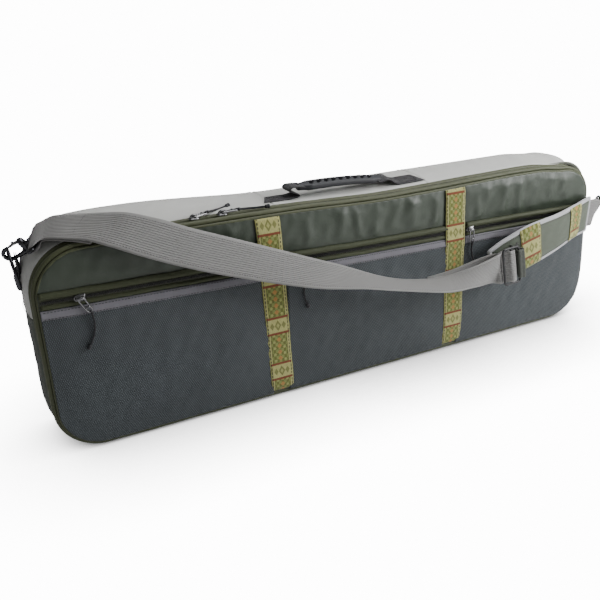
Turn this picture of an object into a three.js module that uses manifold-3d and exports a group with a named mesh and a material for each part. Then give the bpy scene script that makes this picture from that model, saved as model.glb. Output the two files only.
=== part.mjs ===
// Soft-sided fly-rod case: a zipped clamshell with three front mesh pockets, a carry handle on top
// and a padded shoulder strap clipped to a D-ring at each end.
// Millimetres, +X along the case, +Y towards the back, +Z up, origin under the middle of the base.
import * as THREE from 'three';
import { mergeVertices } from 'three/addons/utils/BufferGeometryUtils.js';
import Module from 'manifold-3d';

const wasm = await Module();
wasm.setup();

// ---------------------------------------------------------------- driving dimensions
const LENGTH = 820;
const HEIGHT = 255;
const BACK_Y = 44;
const FRONT_Y = -45; // outer face of the lid's front panel
const CORNER_R = 58;
const CORNER_STEPS = 8;
const GAP = 0.3; // clearance between neighbouring pieces
const FABRIC = 1.4;
const CASE_FOAM = 6;
const LID_FOAM = 7.6;
const CASE_PIPING = { y: -26.5, r: 3.5 };
const LID_PIPING = { y: -39.5, r: 3 };
const TAPE_INSET = 3;
const TAPE_T = 1.2;
const TEETH_R = 0.75;
const CASE_TEETH_Y = -32.5;
const LID_TEETH_Y = -34.3;
const GUSSET_SPLIT_Z = 170; // grey upper gusset meets the green lower gusset
const PANEL_INSET = 7;

const WEBBING_T = 1.8;
const RING_TAB_Y = 20; // centre of each D-ring tab across the depth
const RING_TAB_W = 42;

const HANDLE_Y = -6;
const HANDLE_W = 25;
const GRIP = { x0: -76, x1: 40, leftZ: 268, rightZ: 262.5, arch: 2, w: 22, t: 9 };

const RIBBON_W = 33;
const RIBBON_LEAN = 0.06; // sideways drift of each ribbon per millimetre of height
const RIBBON_FEET = [-123, 152]; // ribbon centres at the foot
const POCKET_SPANS = [[-420, -141.5], [-109, 130.5], [164.5, 420]];
const COIL_Z0 = 188; // height of the pocket zips at mid length
const COIL_SLOPE = -0.0234; // the pocket line runs slightly down to the right
const POCKET_SLIDER_X = [-361, -98, 167];

const MAIN_SLIDER_X = [-222, -188];
const CORD_R = 1.3;

// ---------------------------------------------------------------- materials
const fabric = (color, roughness = 0.85) => new THREE.MeshStandardMaterial({ color, roughness });
const metal = (color) => new THREE.MeshStandardMaterial({ color, roughness: 0.35, metalness: 1 });
const GREY = 0xb9bbb8;
const OLIVE = 0x4d5548;
const PIPING = 0x5d6245;
const BLACK = 0x1c1d20;
const SLATE = 0x4f575c;
const BINDING = 0x77757f;
const WEBBING = 0xa09f9f;
const RIBBON = 0xb3a85c;
const GUNMETAL = 0x55575a;

// ---------------------------------------------------------------- geometry helpers
const group = new THREE.Group();

function add(name, geometry, material) {
  const mesh = new THREE.Mesh(geometry, material);
  mesh.name = name;
  group.add(mesh);
  return mesh;
}

function signedVolume(points, faces) {
  const [a, b, c] = [new THREE.Vector3(), new THREE.Vector3(), new THREE.Vector3()];
  let volume = 0;
  for (const [i, j, k] of faces) {
    a.copy(points[i]);
    b.copy(points[j]);
    c.copy(points[k]);
    volume += a.dot(b.cross(c)) / 6;
  }
  return volume;
}

// A closed body from points and triangles, turned so that its faces point out.
function solid(points, faces) {
  const flip = signedVolume(points, faces) < 0;
  const index = faces.flatMap(([i, j, k]) => (flip ? [i, k, j] : [i, j, k]));
  const geometry = new THREE.BufferGeometry().setFromPoints(points);
  geometry.setIndex(index);
  geometry.computeVertexNormals();
  return geometry;
}

// Sections of equal point count joined one after another: a loop when closed, capped when open.
function loft(sections, closed) {
  const n = sections[0].length;
  const points = sections.flat();
  const faces = [];
  const last = closed ? sections.length : sections.length - 1;
  for (let s = 0; s < last; s++) {
    const a = s * n;
    const b = ((s + 1) % sections.length) * n;
    for (let i = 0; i < n; i++) {
      const j = (i + 1) % n;
      faces.push([a + i, a + j, b + j], [a + i, b + j, b + i]);
    }
  }
  if (!closed) {
    for (let i = 1; i < n - 1; i++) {
      faces.push([0, i + 1, i]);
      const e = (sections.length - 1) * n;
      faces.push([e, e + i, e + i + 1]);
    }
  }
  return solid(points, faces);
}

// Frames round a rounded rectangle, clockwise from the left end of its foot: a point and the way out.
function outlineFrames(halfLength, low, high, r, steps = CORNER_STEPS) {
  const centres = [
    [-halfLength + r, low + r, 270],
    [-halfLength + r, high - r, 180],
    [halfLength - r, high - r, 90],
    [halfLength - r, low + r, 0],
  ];
  return centres.flatMap(([cx, cz, from]) =>
    Array.from({ length: steps + 1 }, (_, i) => {
      const a = THREE.MathUtils.degToRad(from - (90 * i) / steps);
      return { x: cx + r * Math.cos(a), z: cz + r * Math.sin(a), nx: Math.cos(a), nz: Math.sin(a) };
    }),
  );
}

const CASE = outlineFrames(LENGTH / 2, 0, HEIGHT, CORNER_R);

// A profile of [inset, y] points swept round the frames.
function sweep(frames, profile, closed = true) {
  const sections = frames.map((f) =>
    profile.map(([inset, y]) => new THREE.Vector3(f.x - f.nx * inset, y, f.z - f.nz * inset)),
  );
  return loft(sections, closed);
}

const box2 = (inset0, inset1, y0, y1) => [[inset0, y0], [inset1, y0], [inset1, y1], [inset0, y1]];

const circle2 = (inset, y, r, sides = 10) =>
  Array.from({ length: sides }, (_, i) => {
    const a = (2 * Math.PI * i) / sides;
    return [inset + r * Math.cos(a), y + r * Math.sin(a)];
  });

// The case outline, moved in, as a shape in the XZ plane.
function outlineShape(inset) {
  return new THREE.Shape(
    CASE.map((f) => new THREE.Vector2(f.x - f.nx * inset, f.z - f.nz * inset)),
  );
}

// A shape drawn in X and Z, given thickness from y0 to y1.
function plate(shape, y0, y1) {
  const geometry = new THREE.ExtrudeGeometry(shape, {
    depth: y1 - y0,
    bevelEnabled: false,
    curveSegments: 8,
  });
  return geometry.rotateX(Math.PI / 2).translate(0, y1, 0);
}

const polygon = (points) => new THREE.Shape(points.map(([x, z]) => new THREE.Vector2(x, z)));

function block(x0, x1, y0, y1, z0, z1) {
  const geometry = new THREE.BoxGeometry(x1 - x0, y1 - y0, z1 - z0);
  return geometry.translate((x0 + x1) / 2, (y0 + y1) / 2, (z0 + z1) / 2);
}

function toManifold(geometry) {
  const g = geometry.clone();
  g.deleteAttribute('normal');
  g.deleteAttribute('uv');
  const merged = mergeVertices(g, 1e-4);
  return new wasm.Manifold(
    new wasm.Mesh({
      numProp: 3,
      vertProperties: new Float32Array(merged.attributes.position.array),
      triVerts: new Uint32Array(merged.index.array),
    }),
  );
}

function fromManifold(manifold) {
  const mesh = manifold.getMesh();
  const geometry = new THREE.BufferGeometry();
  geometry.setAttribute('position', new THREE.BufferAttribute(new Float32Array(mesh.vertProperties), 3));
  geometry.setIndex(new THREE.BufferAttribute(new Uint32Array(mesh.triVerts), 1));
  geometry.computeVertexNormals();
  return geometry;
}

const join = (...parts) => fromManifold(parts.map(toManifold).reduce((a, b) => a.add(b)));
const common = (a, b) => fromManifold(toManifold(a).intersect(toManifold(b)));

// A round tube through points, with flat ends.
function tube(points, r, steps, sides = 8) {
  const path = new THREE.CatmullRomCurve3(points.map((p) => new THREE.Vector3(...p)));
  const section = new THREE.Shape(
    Array.from({ length: sides }, (_, i) => {
      const a = (2 * Math.PI * i) / sides;
      return new THREE.Vector2(r * Math.cos(a), r * Math.sin(a));
    }),
  );
  return new THREE.ExtrudeGeometry(section, { steps, extrudePath: path, bevelEnabled: false });
}

// A flat band between a top edge and a bottom edge, each given as points, with thickness t.
function band(rows, t, steps) {
  const edge = (k) =>
    new THREE.CatmullRomCurve3(
      rows.map((row) => new THREE.Vector3(...row.slice(k, k + 3))),
      false,
      'catmullrom',
    );
  const [top, foot] = [edge(0), edge(3)];
  const sections = Array.from({ length: steps + 1 }, (_, i) => {
    const u = i / steps;
    const a = top.getPoint(u);
    const b = foot.getPoint(u);
    const along = top.getTangent(u).add(foot.getTangent(u));
    const half = new THREE.Vector3().subVectors(a, b).cross(along).normalize().multiplyScalar(t / 2);
    return [a.clone().add(half), b.clone().add(half), b.clone().sub(half), a.clone().sub(half)];
  });
  return loft(sections, false);
}

// Places geometry drawn along local X, Y, Z on the given directions and origin.
function place(geometry, origin, xDir, zDir) {
  const x = new THREE.Vector3(...xDir).normalize();
  const z = new THREE.Vector3(...zDir);
  z.addScaledVector(x, -z.dot(x)).normalize();
  const y = new THREE.Vector3().crossVectors(z, x);
  const matrix = new THREE.Matrix4().makeBasis(x, y, z).setPosition(...origin);
  return geometry.applyMatrix4(matrix);
}

// ---------------------------------------------------------------- case body
const gussetFront = CASE_PIPING.y + CASE_PIPING.r + GAP;
const gussetBack = BACK_Y - FABRIC - GAP;
const gussetProfile = box2(0, FABRIC, gussetFront, gussetBack);
const sideFrame = (side, z) => ({ x: (side * LENGTH) / 2, z, nx: side, nz: 0 });
const perCorner = CORNER_STEPS + 1;

const upperFrames = [
  sideFrame(-1, GUSSET_SPLIT_Z + GAP / 2),
  ...CASE.slice(perCorner, 3 * perCorner),
  sideFrame(1, GUSSET_SPLIT_Z + GAP / 2),
];
const lowerFrames = [
  sideFrame(1, GUSSET_SPLIT_Z - GAP / 2),
  ...CASE.slice(3 * perCorner),
  ...CASE.slice(0, perCorner),
  sideFrame(-1, GUSSET_SPLIT_Z - GAP / 2),
];
add('gusset_top', sweep(upperFrames, gussetProfile, false), fabric(GREY));
add('gusset_base', sweep(lowerFrames, gussetProfile, false), fabric(OLIVE));
add('back_panel', plate(outlineShape(0), BACK_Y - FABRIC, BACK_Y), fabric(OLIVE));

const foamOut = FABRIC + GAP;
const foamIn = foamOut + CASE_FOAM;
const foamBack = gussetBack;
const foamRing = sweep(CASE, box2(foamOut, foamIn, gussetFront, foamBack));
const foamBackPlate = plate(outlineShape(foamOut), foamBack - CASE_FOAM, foamBack);
add('case_padding', join(foamRing, foamBackPlate), fabric(0x2b2d2c));

const liningOut = foamIn + GAP;
const liningBack = foamBack - CASE_FOAM - GAP;
const liningRing = sweep(CASE, box2(liningOut, liningOut + 1, gussetFront, liningBack));
const liningPlate = plate(outlineShape(liningOut), liningBack - 1, liningBack);
add('case_lining', join(liningRing, liningPlate), fabric(0x6f7468));

add(
  'case_piping',
  sweep(CASE, circle2(CASE_PIPING.r, CASE_PIPING.y, CASE_PIPING.r)),
  fabric(PIPING, 0.7),
);
const tapeProfile = (y0, y1) => box2(TAPE_INSET, TAPE_INSET + TAPE_T, y0, y1);
const teethInset = TAPE_INSET + TAPE_T / 2;
const teethProfile = (y) => circle2(teethInset, y, TEETH_R, 6);
const zipFrames = CASE.slice(0, 4 * perCorner);
const caseTapeBack = CASE_PIPING.y - CASE_PIPING.r - GAP;
const tapeJoin = 0.35; // the tape overlaps its own teeth, so the zip half is one piece
add(
  'case_zip_half',
  join(
    sweep(zipFrames, tapeProfile(CASE_TEETH_Y + tapeJoin, caseTapeBack), false),
    sweep(zipFrames, teethProfile(CASE_TEETH_Y), false),
  ),
  fabric(BLACK, 0.6),
);

add('hinge_strip', block(-340, 340, -36.1, -30.3, 0.5, 1.5), fabric(OLIVE));

// The grey top's clear card window, between the handle and the back edge.
const windowFrame = block(-54, 40, 10, 39, HEIGHT + GAP, HEIGHT + GAP + 1.2);
add('card_window', windowFrame, fabric(0xc6c8c6, 0.4));

// ---------------------------------------------------------------- inside
add('padded_divider', block(-330, 330, -28, liningBack - 1 - GAP, 117, 123), fabric(0x2b2d2c));
for (const [name, x] of [['rod_strap_left', -210], ['rod_strap_right', 210]]) {
  const back = liningBack - 1 - GAP;
  add(name, block(x - 12.5, x + 12.5, back - WEBBING_T, back, 22, 108), fabric(BLACK));
}

// ---------------------------------------------------------------- handle
const topZ = HEIGHT + GAP;
const [handleY0, handleY1] = [HANDLE_Y - HANDLE_W / 2, HANDLE_Y + HANDLE_W / 2];

// Webbing from its sewn-down end to the grip, slack in between: [x, z] points of its middle line.
function handleWebbing(points) {
  const rows = points.map(([x, z]) => [x, handleY1, z, x, handleY0, z]);
  return band(rows, WEBBING_T, 4 * (points.length - 1));
}
const webZ = topZ + WEBBING_T / 2;
add(
  'handle_webbing_left',
  handleWebbing([[-121, webZ], [-106, webZ], [-92, webZ], [-83, webZ + 1.2], [-80.5, 260.6], [-87, 263.4],
    [-93, 266.6], [-90, 270.4], [-81, 270]]),
  fabric(BLACK),
);
add(
  'handle_webbing_right',
  handleWebbing([[101, webZ], [84, webZ], [68, webZ + 0.2], [60, 259.5], [54, 263.6], [48.5, 265],
    [44, 264]]),
  fabric(BLACK),
);

function gripGeometry() {
  const steps = 14;
  const sections = Array.from({ length: steps + 1 }, (_, i) => {
    const u = i / steps;
    const x = GRIP.x0 + (GRIP.x1 - GRIP.x0) * u;
    const full = Math.min(1, 0.72 + 1.4 * Math.min(u, 1 - u) * 2);
    const z = GRIP.leftZ + (GRIP.rightZ - GRIP.leftZ) * u + GRIP.arch * Math.sin(Math.PI * u);
    return Array.from({ length: 12 }, (_, k) => {
      const a = (2 * Math.PI * k) / 12;
      const squarish = (v) => Math.sign(v) * Math.abs(v) ** 0.7;
      const y = HANDLE_Y + (GRIP.w / 2) * full * squarish(Math.cos(a));
      return new THREE.Vector3(x, y, z + (GRIP.t / 2) * full * squarish(Math.sin(a)));
    });
  });
  return loft(sections, false);
}
add('handle_grip', gripGeometry(), new THREE.MeshStandardMaterial({ color: 0x26282b, roughness: 0.6 }));

// ---------------------------------------------------------------- D-rings, tabs and hooks
const RING_WIRE = 2.1;
const RING_HALF = 21;
const RING_LEG = 17;
const RING_PIVOT_Z = 200;
const RING_PIVOT_X = LENGTH / 2 + 4.9;

// A D-ring in its own plane, its straight bar along local X and its bow towards local Y.
function dRing() {
  const bow = Array.from({ length: 15 }, (_, i) => {
    const a = Math.PI * (1 - i / 14);
    return [RING_HALF * Math.cos(a), RING_LEG + RING_HALF * Math.sin(a), Math.cos(a), Math.sin(a)];
  });
  const d = Math.SQRT1_2;
  const corners = [[RING_HALF, 0, d, -d], [-RING_HALF, 0, -d, -d]];
  const sections = [...bow, ...corners].map(([x, y, nx, ny], i) => {
    const r = i < bow.length ? RING_WIRE : RING_WIRE * Math.SQRT2;
    return Array.from({ length: 8 }, (_, k) => {
      const a = (2 * Math.PI * k) / 8;
      const out = r * Math.cos(a);
      return new THREE.Vector3(x + nx * out, y + ny * out, RING_WIRE * Math.sin(a));
    });
  });
  return loft(sections, true);
}

const deg = THREE.MathUtils.degToRad;
const ringLean = { left: deg(7), right: deg(20) };
add(
  'd_ring_left',
  place(
    dRing(),
    [-RING_PIVOT_X, RING_TAB_Y, RING_PIVOT_Z],
    [0, -1, 0],
    [-Math.cos(ringLean.left), 0, -Math.sin(ringLean.left)],
  ),
  metal(BLACK),
);
add(
  'd_ring_right',
  place(
    dRing(),
    [RING_PIVOT_X, RING_TAB_Y, RING_PIVOT_Z],
    [0, -1, 0],
    [Math.cos(ringLean.right), 0, Math.sin(ringLean.right)],
  ),
  metal(BLACK),
);
for (const [name, side] of [['ring_tab_left', -1], ['ring_tab_right', 1]]) {
  const [x0, x1] = [LENGTH / 2 + GAP, LENGTH / 2 + GAP + WEBBING_T];
  const [y0, y1] = [RING_TAB_Y - RING_TAB_W / 2 + 3, RING_TAB_Y + RING_TAB_W / 2 - 3];
  const tab = block(side < 0 ? -x1 : x0, side < 0 ? -x0 : x1, y0, y1, 197, 228);
  add(name, tab, fabric(BLACK));
}

// Snap hook drawn with its crook at -X and its webbing eye at +X, in its local XY plane.
const HOOK = { half: 14, width: 7, wire: 2.3, eyeX: 29, eyeW: 54 };
function hookGeometry() {
  const { half, width, wire, eyeX, eyeW } = HOOK;
  const crook = tube(
    [[11, width, 0], [2, width, 0], [-8, width, 0], [-12.6, 4.6, 0], [-half, 0, 0],
      [-12.6, -4.6, 0], [-8, -width, 0], [-3, -width, 0]],
    wire,
    22,
  );
  const shank = block(10.5, 15.5, -9, 9.3, -3.5, 3.5);
  const post = new THREE.CylinderGeometry(3, 3, 7, 12).rotateZ(Math.PI / 2).translate(18, 0, 0);
  const eye = [
    block(20.5, 24, -2, 2, -eyeW / 2, eyeW / 2),
    block(eyeX - 2, eyeX + 2, -2, 2, -eyeW / 2, eyeW / 2),
    block(22, eyeX, -2, 2, -eyeW / 2, -eyeW / 2 + 3),
    block(22, eyeX, -2, 2, eyeW / 2 - 3, eyeW / 2),
  ];
  return join(crook, shank, post, ...eye);
}
const gateGeometry = () => block(-2.4, 9.6, -HOOK.width - 1.8, -HOOK.width + 1.8, -1.8, 1.8);

const HOOKS = {
  left: { at: [-412.6, 8.9, 240.9], along: [0.78, -0.37, 0.51], eye: [0.39, 0.88, 0.29] },
  right: { at: [421, -8.7, 179.2], along: [-0.05, -0.9, -0.42], eye: [0, -0.42, 0.9] },
};
for (const [side, { at, along, eye }] of Object.entries(HOOKS)) {
  add(`hook_${side}`, place(hookGeometry(), at, along, eye), metal(BLACK));
  add(`hook_gate_${side}`, place(gateGeometry(), at, along, eye), metal(GUNMETAL));
}

// ---------------------------------------------------------------- lid
const panelBack = FRONT_Y + FABRIC;
add('lid_panel', plate(outlineShape(PANEL_INSET), FRONT_Y, panelBack), fabric(OLIVE));
const lidFoamBack = panelBack + GAP + LID_FOAM;
add(
  'lid_padding',
  plate(outlineShape(PANEL_INSET), panelBack + GAP, lidFoamBack),
  fabric(0x2b2d2c),
);
add(
  'lid_lining',
  plate(outlineShape(PANEL_INSET + 1), lidFoamBack + GAP, lidFoamBack + GAP + 1),
  fabric(0x6f7468),
);
add(
  'lid_piping',
  sweep(CASE, circle2(LID_PIPING.r, LID_PIPING.y, LID_PIPING.r)),
  fabric(PIPING, 0.7),
);
const lidTapeFront = LID_PIPING.y + LID_PIPING.r + GAP;
add(
  'lid_zip_half',
  join(
    sweep(zipFrames, tapeProfile(lidTapeFront, LID_TEETH_Y - tapeJoin), false),
    sweep(zipFrames, teethProfile(LID_TEETH_Y), false),
  ),
  fabric(BLACK, 0.6),
);

// ---------------------------------------------------------------- front pockets and ribbons
const coilZ = (x) => COIL_Z0 + COIL_SLOPE * x;
const POCKET_Y = FRONT_Y - GAP; // back face of everything sewn on the front panel

// Part of the front panel's area between two ribbons and two lines parallel to the pocket line.
function pocketPiece([x0, x1], low, high, y0, y1, inset) {
  const line = (x, offset) => (offset === null ? -20 : coilZ(x) + offset);
  const area = polygon([[x0, line(x0, low)], [x1, line(x1, low)], [x1, line(x1, high)], [x0, line(x0, high)]]);
  return common(plate(outlineShape(inset), y0, y1), plate(area, y0 - 5, y1 + 5));
}

const SIDES = ['left', 'centre', 'right'];
POCKET_SPANS.forEach((span, i) => {
  const side = SIDES[i];
  const mesh = pocketPiece(span, null, -9, POCKET_Y - 1.1, POCKET_Y, PANEL_INSET + 4);
  add(`pocket_mesh_${side}`, mesh, fabric(SLATE));
  const binding = pocketPiece(span, -20, -9.3, POCKET_Y - 2.4, POCKET_Y - 1.4, PANEL_INSET + 4);
  add(`pocket_binding_${side}`, binding, fabric(BINDING));
  const tape = pocketPiece(span, -8.7, 9, POCKET_Y - 1, POCKET_Y, PANEL_INSET + 4);
  const teeth = pocketPiece(span, -1.6, 1.6, POCKET_Y - 2.2, POCKET_Y - 0.6, PANEL_INSET + 6);
  add(`pocket_zip_${side}`, join(tape, teeth), fabric(BLACK, 0.6));
});

const ribbonAt = (foot, z) => foot - RIBBON_LEAN * z;
['left', 'right'].forEach((side, i) => {
  const foot = RIBBON_FEET[i];
  const [z0, z1] = [18, HEIGHT - PANEL_INSET - 1];
  const corner = (z, sign) => [ribbonAt(foot, z) + (sign * RIBBON_W) / 2, z];
  const shape = polygon([corner(z0, -1), corner(z0, 1), corner(z1, 1), corner(z1, -1)]);
  add(`ribbon_${side}`, plate(shape, POCKET_Y - 3.4, POCKET_Y - 2.7), fabric(RIBBON));
});

// ---------------------------------------------------------------- sliders, pulls and cords
const PULL_LENGTH = 18;

// A pull link, hanging from local [0, 0] towards -Y with a slot for the cord, in its local XY plane.
function pullGeometry(thick = 1.4) {
  const shape = polygon([[-3.6, -PULL_LENGTH], [3.6, -PULL_LENGTH], [2.6, 1.2], [-2.6, 1.2]]);
  const slot = polygon([[-1.4, -PULL_LENGTH + 1.6], [-1.2, -PULL_LENGTH + 8], [1.2, -PULL_LENGTH + 8],
    [1.4, -PULL_LENGTH + 1.6]]);
  shape.holes.push(slot);
  const geometry = new THREE.ExtrudeGeometry(shape, { depth: thick, bevelEnabled: false });
  return geometry.translate(0, 0, -thick / 2);
}

const sliderTopY = POCKET_Y - 6;
const pocketPulls = [
  { lean: 28, cord: [[0, 0], [1.5, -14], [-1, -28], [-8, -42]] },
  { lean: 12, cord: [[0, 0], [1, -14], [1, -30], [6, -45]] },
  { lean: 8, cord: [[0, 0], [0, -12], [6, -28], [22, -45]] },
];
SIDES.forEach((side, i) => {
  const x = POCKET_SLIDER_X[i];
  const z = coilZ(x);
  const body = block(x - 6.5, x + 6.5, sliderTopY + 0.4, POCKET_Y - 2.5, z - 4.5, z + 4.5);
  add(`pocket_slider_${side}`, body, metal(GUNMETAL));
  const { lean, cord } = pocketPulls[i];
  const down = [Math.sin(deg(lean)), 0, -Math.cos(deg(lean))];
  const across = [Math.cos(deg(lean)), 0, Math.sin(deg(lean))];
  const pullY = sliderTopY - 1.1;
  add(`pocket_pull_${side}`, place(pullGeometry(), [x, pullY, z], across, [0, -1, 0]), metal(GUNMETAL));
  const start = [x + down[0] * (PULL_LENGTH + 1.7), z + down[2] * (PULL_LENGTH + 1.7)];
  const route = cord.map(([dx, dz]) => [start[0] + dx, pullY, start[1] + dz]);
  add(`pocket_cord_${side}`, tube(route, CORD_R, 16), fabric(BLACK, 0.7));
});

const mainZ = HEIGHT + GAP;
const mainY = (CASE_TEETH_Y + LID_TEETH_Y) / 2;
const mainPulls = [
  { turn: 24, cord: [[0, 0, 0], [13, 8, -1.6], [24, 14, -2.2], [33, 18, -1.8]] },
  { turn: 3, cord: [[0, 0, 0], [12, 2, -1.4], [24, 1, -2], [38, -1.5, -1.6]] },
];
['left', 'right'].forEach((side, i) => {
  const x = MAIN_SLIDER_X[i];
  add(
    `main_slider_${side}`,
    block(x - 6.5, x + 6.5, mainY - 4.6, mainY + 4.6, mainZ, mainZ + 4),
    metal(GUNMETAL),
  );
  const { turn, cord } = mainPulls[i];
  const dir = [Math.cos(deg(turn)), Math.sin(deg(turn))];
  const pullZ = mainZ + 5.6;
  const pull = place(pullGeometry(), [x, mainY, pullZ], [-dir[1], dir[0], 0], [0, 0, 1]);
  add(`main_pull_${side}`, pull, metal(GUNMETAL));
  const reach = PULL_LENGTH + 1.7;
  const route = cord.map(([dx, dy, dz]) => [x + dir[0] * reach + dx, mainY + dir[1] * reach + dy, pullZ + dz]);
  add(`main_cord_${side}`, tube(route, CORD_R, 14), fabric(BLACK, 0.7));
});

// ---------------------------------------------------------------- shoulder strap
// Rows of the webbing: [top edge x, y, z, bottom edge x, y, z] from the left hook's eye to the
// adjuster, then its free end, which comes back behind.
const STRAP = [
  [-368, 19, 270, -386, -22, 259],
  [-350, 7, 273, -374, -32, 261],
  [-329, -8, 275, -358, -42, 261],
  [-309, -25, 278, -342, -53, 259],
  [-291, -41, 278, -324, -63, 253],
  [-266, -52, 271, -297, -69, 240],
  [-234, -57, 257, -261, -71, 223],
  [-186, -59, 237, -214, -75, 204],
  [-104, -64, 203, -136, -84, 178],
  [-51, -68, 181, -87, -91, 165],
  [10, -70, 154, -28, -94, 153],
  [60, -70, 139, 24, -95, 140],
  [110, -75, 136, 90, -105, 127],
  [150, -84, 145, 140, -98, 120],
  [186, -89, 156, 185, -82, 111],
  [194, -83, 156, 193, -76, 111],
  [187, -76, 156, 186, -70, 112],
  [158, -70, 150, 156, -70, 112],
  [125, -60, 139, 120, -80, 120],
  [92, -54, 133, 88, -86, 121],
];
add('strap_webbing', band(STRAP, WEBBING_T, 84), fabric(WEBBING));

// Adjuster: a frame with a middle bar, standing across the strap.
function adjusterGeometry() {
  const bars = [-13, 0, 13].map((x) => block(x - 2, x + 2, -29, 29, -1.5, 1.5));
  const sides = [-27, 27].map((y) => block(-14, 14, y - 2, y + 2, -1.5, 1.5));
  return join(...bars, ...sides);
}
const adjuster = place(adjusterGeometry(), [214, -87.5, 134], [1, 0.02, 0.06], [0, -1, 0.18]);
add('adjuster', adjuster, new THREE.MeshStandardMaterial({ color: BLACK, roughness: 0.5 }));

// The pad's rows, as for the webbing, from its blunt left end to its tapered right end.
const PAD = [
  [190, -66, 152, 213, -62, 108],
  [212, -69, 165, 228, -65, 109],
  [251, -74, 181, 268, -69, 120],
  [305, -70, 187, 320, -65, 134],
  [350, -62, 193, 356, -58, 143],
  [385, -53, 197, 387, -52, 147],
];
const PAD_T = 6;
add('shoulder_pad', band(PAD, PAD_T, 26), fabric(0x697062));

// Pieces of ribbon sewn across the pad's outer face.
function padRibbon(u0, u1) {
  const curve = (k) => new THREE.CatmullRomCurve3(PAD.map((row) => new THREE.Vector3(...row.slice(k, k + 3))), false, 'catmullrom');
  const [top, foot] = [curve(0), curve(3)];
  const rows = Array.from({ length: 5 }, (_, i) => {
    const u = u0 + ((u1 - u0) * i) / 4;
    const [a, b] = [top.getPoint(u), foot.getPoint(u)];
    const out = new THREE.Vector3().subVectors(b, a).cross(top.getTangent(u)).normalize();
    out.multiplyScalar(-Math.sign(out.y) * (PAD_T / 2 + 0.8));
    const inner = [a.clone().lerp(b, 0.07).add(out), a.clone().lerp(b, 0.93).add(out)];
    return [...inner[0].toArray(), ...inner[1].toArray()];
  });
  return band(rows, 0.8, 8);
}
add('pad_ribbon_left', padRibbon(0.36, 0.5), fabric(RIBBON));
add('pad_ribbon_right', padRibbon(0.72, 0.86), fabric(RIBBON));

// Webbing from the pad round the corner to the right hook's eye.
const STRAP_END = [
  [390, -52.5, 194, 391, -51.5, 150],
  [404, -51.5, 193, 405, -47, 149],
  [415, -50, 191, 416, -34, 149],
];
add('strap_end', band(STRAP_END, WEBBING_T, 10), fabric(WEBBING));

export default group;
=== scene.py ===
"""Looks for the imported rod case: sewn fabric, zips, webbing and hardware round the fixed CAD frame."""
import math
import bpy
import numpy as np
from mathutils import Vector, Matrix


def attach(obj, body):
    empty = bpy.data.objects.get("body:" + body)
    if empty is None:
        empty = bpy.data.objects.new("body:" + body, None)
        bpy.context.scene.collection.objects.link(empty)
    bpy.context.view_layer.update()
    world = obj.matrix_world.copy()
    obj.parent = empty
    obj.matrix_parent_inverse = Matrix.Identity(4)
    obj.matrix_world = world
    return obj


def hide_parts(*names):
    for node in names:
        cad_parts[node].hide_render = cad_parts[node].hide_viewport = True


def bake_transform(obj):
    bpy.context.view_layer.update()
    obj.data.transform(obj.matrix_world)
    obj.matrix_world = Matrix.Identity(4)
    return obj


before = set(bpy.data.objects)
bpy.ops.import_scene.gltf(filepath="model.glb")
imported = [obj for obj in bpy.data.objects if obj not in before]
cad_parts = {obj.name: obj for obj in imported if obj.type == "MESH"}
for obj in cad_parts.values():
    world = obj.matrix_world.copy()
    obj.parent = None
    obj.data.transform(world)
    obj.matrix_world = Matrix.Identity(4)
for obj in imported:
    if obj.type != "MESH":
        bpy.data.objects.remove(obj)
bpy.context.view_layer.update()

# ------------------------------------------------------------------ camera and light
AZ, EL, ROLL = math.radians(-26.24), math.radians(25.25), math.radians(-0.90)
BACK = Vector((math.sin(AZ) * math.cos(EL), -math.cos(AZ) * math.cos(EL), math.sin(EL)))
RIGHT = (-BACK).cross(Vector((0, 0, 1))).normalized()
UP = RIGHT.cross(-BACK)
right = RIGHT * math.cos(ROLL) + UP * math.sin(ROLL)
up = UP * math.cos(ROLL) - RIGHT * math.sin(ROLL)
cam = bpy.data.objects.new("camera", bpy.data.cameras.new("camera"))
bpy.context.scene.collection.objects.link(cam)
cam.data.lens = 41.9
cam.data.sensor_width = 36
cam.data.clip_start, cam.data.clip_end = 0.05, 40
rot = Matrix((right, up, BACK)).transposed().to_4x4()
cam.matrix_world = Matrix.Translation((-0.450, -0.764, 0.511)) @ rot
bpy.context.scene.camera = cam


def area_light(name, at, target, size, power):
    light = bpy.data.lights.new(name, "AREA")
    light.shape, light.size, light.size_y = "RECTANGLE", size[0], size[1]
    light.energy = power
    o = bpy.data.objects.new(name, light)
    bpy.context.scene.collection.objects.link(o)
    o.location = at
    o.rotation_mode = "QUATERNION"
    o.rotation_quaternion = (Vector(at) - Vector(target)).to_track_quat("Z", "Y")


area_light("key", (1.02, -0.66, 0.66), (0.1, 0, 0.12), (0.7, 0.6), 17)
area_light("top", (0.5, 0.1, 1.7), (0.1, 0, 0.2), (1.6, 1.0), 22)
area_light("fill", (-1.6, -1.5, 1.3), (0, 0, 0.1), (1.2, 1.2), 0.4)

WHITE = 14.0  # how bright the sweep looks to the camera; it lights the case as plain pale board
world = bpy.data.worlds.new("studio")
bpy.context.scene.world = world
world.use_nodes = True
sky = world.node_tree.nodes["Background"]
sky.inputs[0].default_value = (1, 1, 1, 1)
sky.inputs[1].default_value = 0.20
seen = world.node_tree.nodes.new("ShaderNodeBackground")
seen.inputs[1].default_value = WHITE
ray = world.node_tree.nodes.new("ShaderNodeLightPath")
mix = world.node_tree.nodes.new("ShaderNodeMixShader")
for a, b in ((ray.outputs["Is Camera Ray"], 0), (sky.outputs[0], 1), (seen.outputs[0], 2)):
    world.node_tree.links.new(a, mix.inputs[b])
world.node_tree.links.new(mix.outputs[0], world.node_tree.nodes["World Output"].inputs[0])


# ------------------------------------------------------------------ node materials
def operator(op, swapped=False):
    """One arithmetic operator between values, made as a math node."""
    if swapped:
        return lambda a, b: a.nodes.math(op, b, a)
    return lambda a, b: a.nodes.math(op, a, b)


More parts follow.
